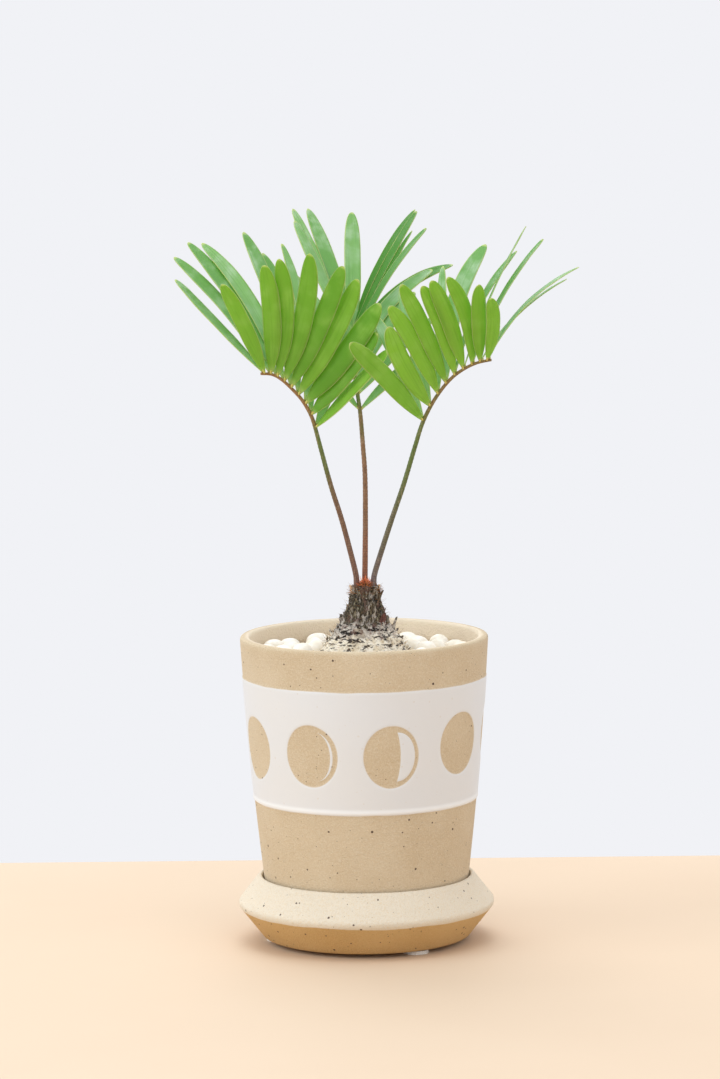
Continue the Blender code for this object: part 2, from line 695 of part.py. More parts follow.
def make_wool(collection, material):
    """Orange woolly tuft between the stalks, as a low dome set with short points."""
    draw = random.Random(WOOL_SEED)
    centre = Vector((WOOL_CENTRE[0] * MM, WOOL_CENTRE[1] * MM, TRUNK_TOP_Z + CLEARANCE))
    bm = bmesh.new()
    bmesh.ops.create_cone(
        bm, cap_ends=True, segments=WOOL_SIDES, radius1=WOOL_RADIUS, radius2=WOOL_RADIUS * 0.55,
        depth=WOOL_HEIGHT / 2.0)
    bmesh.ops.translate(bm, verts=bm.verts, vec=centre + Vector((0.0, 0.0, WOOL_HEIGHT / 4.0)))
    tuft = add_object("crown_wool", mesh_from_bmesh("crown_wool", bm), collection, material)
    points = new_collection("wool_shapes")
    for number in range(WOOL_POINTS + 1):
        bm = bmesh.new()
        bmesh.ops.create_cone(
            bm, cap_ends=True, segments=5, radius1=WOOL_POINT_ROOT, radius2=WOOL_POINT_TIP,
            depth=WOOL_HEIGHT)
        tilt = Matrix.Rotation(math.radians(draw.uniform(*WOOL_TILT)), 3, "X")
        bmesh.ops.rotate(bm, verts=bm.verts, matrix=tilt)
        angle = 360.0 * number / WOOL_POINTS
        spread = 0.0 if number == WOOL_POINTS else WOOL_RADIUS / 2.0
        turn = Matrix.Rotation(math.radians(angle), 3, "Z")
        bmesh.ops.rotate(bm, verts=bm.verts, matrix=turn)
        place = centre + front_point(angle, spread, WOOL_HEIGHT * draw.uniform(*WOOL_LIFT))
        bmesh.ops.translate(bm, verts=bm.verts, vec=place)
        add_object(f"point_{number}", mesh_from_bmesh("point", bm), points)
    join_collection(tuft, points)
    shade(tuft)


def stalk_foot(frond):
    """Lowest point of a stalk, straight below its first one, down in its socket."""
    start = Vector(frond["route"][0]) * MM
    return Vector((start.x, start.y, TRUNK_TOP_Z - SOCKET_DEPTH))


def stalk_route(frond):
    """Whole route of a stalk from its foot to its tip."""
    points = [stalk_foot(frond)] + [Vector(point) * MM for point in frond["route"]]
    return smooth_route(points, STALK_RINGS)


def stalk_thickness(share):
    """Radius of a stalk at a share of its route."""
    if share < STALK_KNEE:
        return mix((STALK_BASE_RADIUS, STALK_MIDDLE_RADIUS), share / STALK_KNEE)
    return mix((STALK_MIDDLE_RADIUS, STALK_TIP_RADIUS), (share - STALK_KNEE) / (1.0 - STALK_KNEE))


def make_stalk(name, route, collection, material):
    """Tapered round stalk along a route, as a bevelled curve made into a mesh."""
    curve = bpy.data.curves.new(name, "CURVE")
    curve.dimensions = "3D"
    curve.bevel_depth = 1.0
    curve.bevel_resolution = 2
    curve.use_fill_caps = True
    spline = curve.splines.new("POLY")
    spline.points.add(len(route) - 1)
    for index, (point, place) in enumerate(zip(spline.points, route)):
        point.co = (*place, 1.0)
        point.radius = stalk_thickness(index / (len(route) - 1))
    guide = bpy.data.objects.new(f"{name}_curve", curve)
    collection.objects.link(guide)
    graph = bpy.context.evaluated_depsgraph_get()
    mesh = bpy.data.meshes.new_from_object(guide.evaluated_get(graph))
    bm = bmesh.new()
    bm.from_mesh(mesh)
    bmesh.ops.remove_doubles(bm, verts=bm.verts, dist=0.00001)
    stalk = add_object(name, mesh_from_bmesh(name, bm), collection, material)
    stalk.matrix_world = guide.matrix_world
    bpy.data.objects.remove(guide, do_unlink=True)
    return stalk


def blade_width(share):
    """Width of a leaflet at a share of its length, as a share of its widest."""
    if share < BLADE_SHOULDER:
        return 1.0 - (1.0 - share / BLADE_SHOULDER) ** BLADE_SHOULDER_POWER
    if share < BLADE_WIDEST_END:
        return 1.0
    rest = (share - BLADE_WIDEST_END) / (1.0 - BLADE_WIDEST_END)
    return max(1.0 - rest ** BLADE_TIP_POWER, BLADE_TIP_SHARE ** 2) ** 0.5


def crowded(share):
    """Share of the way along the leafy stretch, where leaflets stand closer towards the tip."""
    return share * (PAIR_EASE + (1.0 - PAIR_EASE) * share)


def make_blade(root, lean, reach, turn, length, width, bow, sway):
    """One leaflet: a thin arched blade, narrow where it leaves the stalk and round at its end."""
    tilt, forward = math.radians(lean), math.radians(reach)
    along = Vector((
        math.sin(tilt) * math.cos(forward), -math.sin(forward), math.cos(tilt) * math.cos(forward)))
    sideways = along.cross(Vector((0.0, 1.0, 0.0))).normalized()
    across = Matrix.Rotation(math.radians(turn), 3, along) @ sideways
    through = across.cross(along).normalized()
    droop = (Vector((0.0, 0.0, -1.0)) + along * along.z).normalized()
    bm = bmesh.new()
    rings = []
    for share in BLADE_STATIONS:
        arch = 4.0 * share * (1.0 - share)
        middle = root + (along * share - droop * bow * arch + sideways * sway * arch) * length
        half_wide = across * max(width * blade_width(share), BLADE_ROOT_WIDTH) / 2.0
        half_thick = through * BLADE_THICKNESS / 2.0
        corners = (
            half_wide + half_thick, -half_wide + half_thick, -half_wide - half_thick,
            half_wide - half_thick)
        rings.append([bm.verts.new(middle + corner) for corner in corners])
    loft(bm, rings)
    return mesh_from_bmesh("blade", bm)


def make_frond(side, frond, collection, material):
    """One frond: its stalk with two rows of leaflets fused to it."""
    route = stalk_route(frond)
    stalk = make_stalk(f"frond_{side}", route, collection, material)
    blades = new_collection(f"{side}_blades")
    for row_name, row in frond["rows"].items():
        count = len(row["lean"])
        for number in range(count):
            share = number / (count - 1)
            place = mix(frond["pairs"], crowded(share)) * (len(route) - 1)
            index = min(int(place), len(route) - 2)
            root = route[index].lerp(route[index + 1], place - index)
            blade = make_blade(
                root, row["lean"][number], mix(row["reach"], share), row["turn"][number],
                row["length"][number] * MM, row["width"][number] * MM, mix(row["bow"], share),
                row["sway"][number])
            add_object(f"blade_{row_name}_{number}", blade, blades)
    join_collection(stalk, blades)
    shade(stalk, 40.0)


def main():
    """Build the plant and its pot, and move them onto the pot's axis."""
    clear_scene()
    parts = new_collection("potted_zamia")
    cutters = new_collection("cutters")
    pad_felt = make_material("pad_felt", (0.9, 0.9, 0.88), 0.9)
    pot_clay = make_material("pot_clay", (0.72, 0.55, 0.38), 0.7)
    saucer_clay = make_material("saucer_clay", (0.82, 0.7, 0.52), 0.55)
    earth = make_material("earth", (0.08, 0.05, 0.035), 0.95)
    white_stone = make_material("white_stone", (0.85, 0.82, 0.74), 0.75)
    bark = make_material("bark", (0.22, 0.17, 0.13), 0.9)
    wool = make_material("wool", (0.75, 0.22, 0.08), 0.95)
    leaf_green = make_material("leaf_green", (0.2, 0.42, 0.08), 0.5)

    make_pads(parts, pad_felt)
    make_saucer(parts, saucer_clay)
    make_pot(parts, cutters, pot_clay)
    make_soil(parts, earth)
    make_stones(parts, white_stone)
    make_trunk(parts, bark)
    make_wool(parts, wool)
    for side, frond in FRONDS.items():
        make_frond(side, frond, parts, leaf_green)

    axis = bpy.data.objects.new("pot_axis", None)
    parts.objects.link(axis)
    axis.location = (AXIS_X, AXIS_Y, 0.0)
    for thing in parts.objects:
        if thing is not axis:
            thing.parent = axis


main()
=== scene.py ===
"""Finished look of a potted zamia: three fronds, a scaly trunk, white pebbles and a stoneware pot.

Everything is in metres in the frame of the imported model. The front of the pot faces -Y.
"""

from __future__ import annotations

import logging
import math
from dataclasses import dataclass, field
from enum import Enum
from random import Random
from typing import Any, Callable, Iterable, Sequence

import bmesh
import bpy
import numpy as np
from mathutils import Matrix, Vector, noise


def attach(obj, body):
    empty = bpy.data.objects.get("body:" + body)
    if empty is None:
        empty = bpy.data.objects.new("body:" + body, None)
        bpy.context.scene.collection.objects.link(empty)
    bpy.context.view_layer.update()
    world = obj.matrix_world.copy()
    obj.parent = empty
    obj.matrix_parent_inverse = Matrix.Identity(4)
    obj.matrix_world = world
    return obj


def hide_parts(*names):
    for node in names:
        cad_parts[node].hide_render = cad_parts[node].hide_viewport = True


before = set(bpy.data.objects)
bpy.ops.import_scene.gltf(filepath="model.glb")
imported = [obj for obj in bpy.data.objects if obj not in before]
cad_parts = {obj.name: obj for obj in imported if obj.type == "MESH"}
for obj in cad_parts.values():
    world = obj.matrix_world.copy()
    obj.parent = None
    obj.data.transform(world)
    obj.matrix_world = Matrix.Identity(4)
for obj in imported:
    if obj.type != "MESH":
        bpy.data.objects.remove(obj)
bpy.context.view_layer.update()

LOG = logging.getLogger("potted_zamia")
MM = 0.001
Colour = tuple[float, float, float]
Point = tuple[float, float, float]

# Where the pot's axis stands in the frame
AXIS = Vector((-7.4 * MM, 0.3 * MM, 0.0))
SOIL_TOP_Z = 138.0 * MM
TRUNK_TOP_Z = 174.6 * MM
ROOT_BODY = "root"


def screen(red: int, green: int, blue: int) -> Colour:
    """Linear colour from screen values of 0 to 255."""
    shares = (value / 255.0 for value in (red, green, blue))
    return tuple(s / 12.92 if s <= 0.04045 else ((s + 0.055) / 1.055) ** 2.4 for s in shares)


def mix(pair: Sequence[float], share: float) -> float:
    """Value at a share of the way between the two of a pair."""
    return pair[0] + (pair[1] - pair[0]) * share


def front_point(angle: float, radius: float, height: float) -> Vector:
    """Point about the pot's axis, by its angle in degrees from the front, turning to the right."""
    turn = math.radians(angle)
    return Vector((radius * math.sin(turn), -radius * math.cos(turn), height))


def smooth_route(points: Sequence[Vector], count: int) -> list[Vector]:
    """Read evenly spaced points from a smooth curve through the given ones.

    Args:
        points: The points that the curve passes through.
        count: How many points to read.

    Returns:
        The points read, the first and last of the given ones included.
    """
    dense: list[Vector] = []
    for index in range(len(points) - 1):
        before = points[max(index - 1, 0)]
        start, end = points[index], points[index + 1]
        after = points[min(index + 2, len(points) - 1)]
        for step in range(12):
            t = step / 12.0
            dense.append(0.5 * (
                2.0 * start + (end - before) * t
                + (2.0 * before - 5.0 * start + 4.0 * end - after) * t * t
                + (3.0 * start - before - 3.0 * end + after) * t ** 3))
    dense.append(points[-1])
    lengths = [0.0]
    for first, second in zip(dense, dense[1:]):
        lengths.append(lengths[-1] + (second - first).length)
    spaced, cursor = [], 0
    for step in range(count):
        wanted = lengths[-1] * step / (count - 1)
        while cursor < len(dense) - 2 and lengths[cursor + 1] < wanted:
            cursor += 1
        span = lengths[cursor + 1] - lengths[cursor]
        spaced.append(dense[cursor].lerp(dense[cursor + 1], (wanted - lengths[cursor]) / span))
    return spaced


class Graph:
    """Adds nodes to a node tree and wires them to each other."""

    def __init__(self, tree: bpy.types.NodeTree) -> None:
        """Work on the given tree."""
        self.tree = tree

    @staticmethod
    def pick(sockets: Iterable[bpy.types.NodeSocket], key: str | int) -> bpy.types.NodeSocket:
        """Find a socket in use by its name, or by its place among those in use."""
        usable = [socket for socket in sockets if socket.enabled]
        if isinstance(key, int):
            return usable[key]
        return next(socket for socket in usable if socket.name == key)

    def add(self, kind: str, inputs: dict[str | int, Any] | None = None,
            **settings: Any) -> bpy.types.Node:
        """Add a node.

        Args:
            kind: The node's type.
            inputs: What goes into its sockets: a socket to link, or a plain value.
            settings: The node's own settings.

        Returns:
            The new node.
        """
        node = self.tree.nodes.new(kind)
        for name, value in settings.items():
            setattr(node, name, value)
        for key, value in (inputs or {}).items():
            self.feed(self.pick(node.inputs, key), value)
        return node

    def feed(self, socket: bpy.types.NodeSocket, value: Any) -> None:
        """Link a socket to another, or set its plain value."""
        if isinstance(value, bpy.types.NodeSocket):
            self.tree.links.new(value, socket)
        else:
            socket.default_value = value

    def out(self, kind: str, inputs: dict[str | int, Any] | None = None, key: str | int = 0,
            **settings: Any) -> bpy.types.NodeSocket:
        """Add a node and return one of its outputs.

        Args:
            kind: The node's type.
            inputs: What goes into its sockets.
            key: The name or the place of the output.
            settings: The node's own settings.

        Returns:
            The output socket.
        """
        return self.pick(self.add(kind, inputs, **settings).outputs, key)

    def math(self, operation: str, *values: Any, clamp: bool = False) -> bpy.types.NodeSocket:
        """Result of a Math node on one to three values."""
        return self.out("ShaderNodeMath", dict(enumerate(values)), operation=operation,
                        use_clamp=clamp)

    def vector(self, operation: str, *values: Any, key: str | int = 0) -> bpy.types.NodeSocket:
        """Result of a Vector Math node on its values."""
        return self.out("ShaderNodeVectorMath", dict(enumerate(values)), key=key,
                        operation=operation)

    def scaled(self, value: Any, factor: Any) -> bpy.types.NodeSocket:
        """Vector times a number."""
        return self.out("ShaderNodeVectorMath", {0: value, "Scale": factor}, operation="SCALE")

    def mapped(self, value: Any, low: float, high: float, to_low: float = 0.0,
               to_high: float = 1.0, smooth: bool = True) -> bpy.types.NodeSocket:
        """Value carried from one range to another and held inside it.

        Args:
            value: The value to carry over.
            low: The range's start.
            high: The range's end.
            to_low: What the start becomes.
            to_high: What the end becomes.
            smooth: Whether the change eases in and out.

        Returns:
            The new value.
        """
        return self.out(
            "ShaderNodeMapRange",
            {"Value": value, "From Min": low, "From Max": high, "To Min": to_low,
             "To Max": to_high},
            interpolation_type="SMOOTHSTEP" if smooth else "LINEAR", clamp=True)


class ShaderGraph(Graph):
    """A material's node tree, with its Principled shader at hand."""

    def __init__(self, name: str) -> None:
        """Make a new material of the given name."""
        self.material = bpy.data.materials.new(name)
        self.material.use_nodes = True
        super().__init__(self.material.node_tree)
        self.shader = self.tree.nodes["Principled BSDF"]
        self.output = self.tree.nodes["Material Output"]

    def place(self) -> bpy.types.NodeSocket:
        """Object coordinates."""
        return self.add("ShaderNodeTexCoord").outputs["Object"]

    def stretched(self, place: Any, scale: Point) -> bpy.types.NodeSocket:
        """Coordinates scaled apart along the three axes."""
        return self.out("ShaderNodeMapping", {"Vector": place, "Scale": scale})

    def noise(self, place: Any, scale: float, detail: float = 3.0,
              roughness: float = 0.5) -> bpy.types.NodeSocket:
        """Noise from 0 to 1."""
        return self.out(
            "ShaderNodeTexNoise",
            {"Vector": place, "Scale": scale, "Detail": detail, "Roughness": roughness})

    def blend(self, share: Any, first: Any, second: Any,
              mode: str = "MIX") -> bpy.types.NodeSocket:
        """Mix two colours, each a socket or a colour."""
        node = self.tree.nodes.new("ShaderNodeMix")
        node.data_type = "RGBA"
        node.blend_type = mode
        values = (share, self.solid(first), self.solid(second))
        for key, value in zip(("Factor", "A", "B"), values):
            self.feed(self.pick(node.inputs, key), value)
        return self.pick(node.outputs, "Result")

    @staticmethod
    def solid(colour: Any) -> Any:
        """Give a plain colour its fourth value and leave a socket as it is."""
        return colour if isinstance(colour, bpy.types.NodeSocket) else (*colour, 1.0)

    def bump(self, height: Any, distance: float, strength: float = 1.0,
             normal: Any = None) -> bpy.types.NodeSocket:
        """Normal raised by a height.

        Args:
            height: The height, in shares of the distance.
            distance: How far a height of 1 stands up, in metres.
            strength: How strongly the height shows.
            normal: A normal to build on.

        Returns:
            The bumped normal.
        """
        inputs = {"Height": height, "Distance": distance, "Strength": strength}
        if normal is not None:
            inputs["Normal"] = normal
        return self.out("ShaderNodeBump", inputs)

    def specks(self, place: Any, spacing: float, size: tuple[float, float],
               share: float) -> bpy.types.NodeSocket:
        """Mask of scattered dots.

        Args:
            place: The coordinates.
            spacing: The size of the cells that hold a dot each, in metres.
            size: The least and greatest radius of a dot, in shares of a cell.
            share: How many of the cells hold a dot.

        Returns:
            The mask, 1 inside a dot.
        """
        cells = self.add("ShaderNodeTexVoronoi", {"Vector": place, "Scale": 1.0 / spacing})
        draw = self.out("ShaderNodeSeparateColor", {0: cells.outputs["Color"]}, key=0)
        other = self.out("ShaderNodeSeparateColor", {0: cells.outputs["Color"]}, key=1)
        radius = self.mapped(other, 0.0, 1.0, *size, smooth=False)
        ragged = self.math("MULTIPLY_ADD", self.noise(place, 3.0 / spacing, 2.0), 0.16, -0.08)
        inside = self.math("SUBTRACT", radius, self.math("ADD", cells.outputs["Distance"], ragged))
        dot = self.mapped(inside, 0.0, 0.03)
        return self.math("MULTIPLY", dot, self.math("LESS_THAN", draw, share))

    def finish(self, colour: Any, roughness: Any, normal: Any = None,
               **settings: Any) -> bpy.types.Material:
        """Set the Principled shader.

        Args:
            colour: Its base colour.
            roughness: Its roughness.
            normal: Its normal.
            settings: Plain values of other sockets, by their names with _ for a space.

        Returns:
            The finished material.
        """
        self.feed(self.shader.inputs["Base Color"], self.solid(colour))
        self.feed(self.shader.inputs["Roughness"], roughness)
        if normal is not None:
            self.feed(self.shader.inputs["Normal"], normal)
        for name, value in settings.items():
            self.shader.inputs[name.replace("_", " ")].default_value = value
        return self.material


class GeometryGraph(Graph):
    """A Geometry Nodes tree with named inputs, ending in Realize Instances and Set Material."""

    def __init__(self, name: str, inputs: dict[str, str]) -> None:
        """Make the tree.

        Args:
            name: The tree's name.
            inputs: The socket type of each named input after the geometry.
        """
        tree = bpy.data.node_groups.new(name, "GeometryNodeTree")
        super().__init__(tree)
        tree.interface.new_socket(
            name="Geometry", in_out="INPUT", socket_type="NodeSocketGeometry")
        tree.interface.new_socket(
            name="Geometry", in_out="OUTPUT", socket_type="NodeSocketGeometry")
        self.keys: dict[str, str] = {}
        for label, kind in {**inputs, "Material": "NodeSocketMaterial"}.items():
            socket = tree.interface.new_socket(name=label, in_out="INPUT", socket_type=kind)
            self.keys[label] = socket.identifier
        self.inlet = tree.nodes.new("NodeGroupInput").outputs

    def named(self, name: str, kind: str = "FLOAT") -> bpy.types.NodeSocket:
        """Read a named attribute."""
        return self.out("GeometryNodeInputNamedAttribute", {"Name": name}, key="Attribute",
                        data_type=kind)

    def random(self, low: Any, high: Any, seed: Any, kind: str = "FLOAT") -> bpy.types.NodeSocket:
        """Random number, or random vector, between two limits for each element."""
        return self.out("FunctionNodeRandomValue", {"Min": low, "Max": high, "Seed": seed},
                        data_type=kind)

    def store(self, geometry: Any, name: str, value: Any, kind: str,
              domain: str = "POINT") -> bpy.types.NodeSocket:
        """Write a named attribute and return the geometry."""
        return self.out(
            "GeometryNodeStoreNamedAttribute",
            {"Geometry": geometry, "Name": name, "Value": value}, data_type=kind, domain=domain)

    def close(self, geometry: Any, smooth: bool = True) -> None:
        """End the tree: realize its instances, shade it and set its material."""
        real = self.out("GeometryNodeRealizeInstances", {"Geometry": geometry})
        shaded = self.out("GeometryNodeSetShadeSmooth", {0: real, "Shade Smooth": smooth})
        dressed = self.out(
            "GeometryNodeSetMaterial", {"Geometry": shaded, "Material": self.inlet["Material"]})
        self.add("NodeGroupOutput", {"Geometry": dressed})

    def use_on(self, thing: bpy.types.Object, material: bpy.types.Material,
               **values: Any) -> None:
        """Give an object this tree as a modifier, with its named inputs set."""
        modifier = thing.modifiers.new(self.tree.name, "NODES")
        modifier.node_group = self.tree
        modifier[self.keys["Material"]] = material
        for label, value in values.items():
            modifier[self.keys[label.replace("_", " ")]] = value


class Workshop:
    """Makes objects from meshes and hands the finished ones to the frame."""

    @staticmethod
    def thing(name: str, mesh: bpy.types.Mesh) -> bpy.types.Object:
        """Link a mesh to the scene as an object."""
        made = bpy.data.objects.new(name, mesh)
        bpy.context.scene.collection.objects.link(made)
        return made

    @staticmethod
    def from_lists(name: str, verts: Sequence[Any], faces: Sequence[Any] = (),
                   edges: Sequence[Any] = ()) -> bpy.types.Mesh:
        """Mesh from lists of points, edges and faces."""
        mesh = bpy.data.meshes.new(name)
        mesh.from_pydata([tuple(vert) for vert in verts], list(edges), list(faces))
        return mesh

    @staticmethod
    def attribute(mesh: bpy.types.Mesh, name: str, values: Sequence[Any],
                  kind: str = "FLOAT") -> None:
        """Write a value for each point of a mesh.

        Args:
            mesh: The mesh.
            name: The attribute's name.
            values: One number or vector for each point.
            kind: The attribute's type.
        """
        layer = mesh.attributes.new(name, kind, "POINT")
        key = "vector" if kind == "FLOAT_VECTOR" else "value"
        layer.data.foreach_set(key, np.asarray(values, np.float32).ravel())

    @staticmethod
    def settle(thing: bpy.types.Object) -> bpy.types.Object:
        """Turn an object's evaluated shape into its plain mesh."""
        graph = bpy.context.evaluated_depsgraph_get()
        mesh = bpy.data.meshes.new_from_object(
            thing.evaluated_get(graph), preserve_all_data_layers=True, depsgraph=graph)
        thing.modifiers.clear()
        thing.data = mesh
        return thing

    @staticmethod
    def discard(*things: bpy.types.Object) -> None:
        """Remove helper objects."""
        for thing in things:
            bpy.data.objects.remove(thing, do_unlink=True)

    @staticmethod
    def hand_over(thing: bpy.types.Object, node: str | None, slot: str,
                  smooth_angle: float | None = None) -> bpy.types.Object:
        """Give a finished piece to the frame.

        Args:
            thing: The finished piece.
            node: The CAD node that it stands for.
            slot: A material slot's name; not used.
            smooth_angle: Where given, edges sharper than this in degrees stay sharp.

        Returns:
            The same piece.
        """
        if smooth_angle is not None:
            thing.data.shade_smooth()
            thing.data.set_sharp_from_angle(angle=math.radians(smooth_angle))
        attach(thing, ROOT_BODY)
        if node is not None:
            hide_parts(node)
        LOG.info("%s: %d faces", thing.name, len(thing.data.polygons))
        return thing


# Finishes


@dataclass(frozen=True)
class MoonBand:
    """Glaze band with its ring of bare clay discs, and the white phases inside some of them."""

    low: float = 70.5 * MM
    high: float = 130.8 * MM
    disc_height: float = 99.0 * MM
    disc_width: float = 27.4 * MM
    disc_tall: float = 30.6 * MM
    disc_radius: float = 57.0 * MM
    first_angle: float = 12.8
    step: float = 40.0
    # How much higher than the others some of the discs stand, by their numbers
    rises: tuple[tuple[int, float], ...] = ((1, 3.2 * MM), (2, 4.5 * MM), (3, 2.0 * MM))
    phase_reach: float = 0.788
    # Disc number: side it faces, where its horns stand, and how far its inner and outer edges bulge
    phases: tuple[tuple[int, float, float, float, float], ...] = (
        (0, 1.0, 0.20, 0.126, 0.659), (-1, 1.0, 0.183, 0.545, 0.635),
        (3, -1.0, 0.183, 0.545, 0.635), (4, -1.0, 0.20, 0.126, 0.659),
        (-4, -1.0, 0.183, 0.30, 0.56),
    )

    def white(self, angle: np.ndarray, height: np.ndarray, soft: float) -> np.ndarray:
        """Share of glaze at places on the pot's wall.

        Args:
            angle: Angles from the front in radians.
            height: Heights above the ground.
            soft: Width of the soft edge, in metres.

        Returns:
            1 where the wall is glazed and 0 where it is bare.
        """
        def step(value: np.ndarray) -> np.ndarray:
            share = np.clip(value / soft + 0.5, 0.0, 1.0)
            return share * share * (3.0 - 2.0 * share)

        band = step(height - self.low) * step(self.high - height)
        turns = (np.degrees(angle) - self.first_angle) / self.step
        number = np.round(turns)
        across = np.radians((turns - number) * self.step) * self.disc_radius
        u = across / (self.disc_width / 2.0)
        wrapped = np.mod(number + 4, 9) - 4
        middle = self.disc_height + sum(rise * (wrapped == disc) for disc, rise in self.rises)
        v = (height - middle) / (self.disc_tall / 2.0)
        inside = step((1.0 - np.hypot(u, v)) * self.disc_width / 2.0)
        bulge = np.sqrt(np.clip(1.0 - (v / self.phase_reach) ** 2, 0.0, 1.0))
        phase = np.zeros_like(u)
        for disc, side, horn, inner, outer in self.phases:
            facing = u * side
            edge_in = horn + inner * (bulge ** 2 if inner < 0.2 else bulge)
            edge_out = horn + outer * bulge
            width = self.disc_width / 2.0
            cover = step((facing - edge_in) * width) * step((edge_out - facing) * width)
            phase = np.maximum(phase, cover * (np.abs(wrapped - disc) < 0.5))
        return band * (1.0 - inside) + phase * inside

    def mask(self, graph: ShaderGraph, place: bpy.types.NodeSocket) -> bpy.types.NodeSocket:
        """The same share of glaze in a material's nodes.

        Args:
            graph: The material's tree.
            place: Coordinates about the pot's axis.

        Returns:
            The mask, 1 where the wall is glazed.
        """
        split = graph.add("ShaderNodeSeparateXYZ", {0: place}).outputs
        wobble = graph.math("MULTIPLY_ADD", graph.noise(place, 55.0, 2.0), 0.0012, -0.0006)
        height = graph.math("ADD", split["Z"], wobble)
        soft = 0.35 * MM
        lower = graph.mapped(height, self.low - soft, self.low + soft)
        upper = graph.mapped(height, self.high + soft, self.high - soft)
        band = graph.math("MULTIPLY", lower, upper)

        angle = graph.math("ARCTAN2", split["X"], graph.math("MULTIPLY", split["Y"], -1.0))
        step = math.radians(self.step)
        turns = graph.math("DIVIDE", graph.math(
            "SUBTRACT", angle, math.radians(self.first_angle)), step)
        number = graph.math("ROUND", turns)
        half = self.disc_width / 2.0
        u = graph.math(
            "MULTIPLY", graph.math("SUBTRACT", turns, number), step * self.disc_radius / half)
        middle: Any = self.disc_height
        for disc, rise in self.rises:
            here = graph.math("COMPARE", number, float(disc), 0.5)
            middle = graph.math("MULTIPLY_ADD", here, rise, middle)
        v = graph.math("DIVIDE", graph.math("SUBTRACT", height, middle), self.disc_tall / 2.0)
        square = graph.math("MULTIPLY", v, v)
        reach = graph.math("SQRT", graph.math("MULTIPLY_ADD", u, u, square))
        edge = soft / half
        inside = graph.mapped(reach, 1.0 + edge, 1.0 - edge)
        flat = graph.math("MULTIPLY_ADD", square, -1.0 / self.phase_reach ** 2, 1.0, clamp=True)
        bulge = graph.math("SQRT", flat)
        phase: Any = 0.0
        for disc, side, horn, inner, outer in self.phases:
            facing = graph.math("MULTIPLY", u, side)
            start = graph.math("MULTIPLY_ADD", flat if inner < 0.2 else bulge, inner, horn)
            end = graph.math("MULTIPLY_ADD", bulge, outer, horn)
            after = graph.mapped(graph.math("SUBTRACT", facing, start), -edge / 2.0, edge / 2.0)
            before = graph.mapped(graph.math("SUBTRACT", end, facing), -edge / 2.0, edge / 2.0)
            here = graph.math("COMPARE", number, float(disc), 0.5)
            if disc == 4:
                here = graph.math("MAXIMUM", here, graph.math("COMPARE", number, -5.0, 0.5))
            cover = graph.math("MULTIPLY", graph.math("MULTIPLY", after, before), here)
            phase = graph.math("MAXIMUM", phase, cover)
        bare = graph.math("MULTIPLY", band, graph.math("SUBTRACT", 1.0, inside))
        return graph.math("MULTIPLY_ADD", phase, inside, bare, clamp=True)


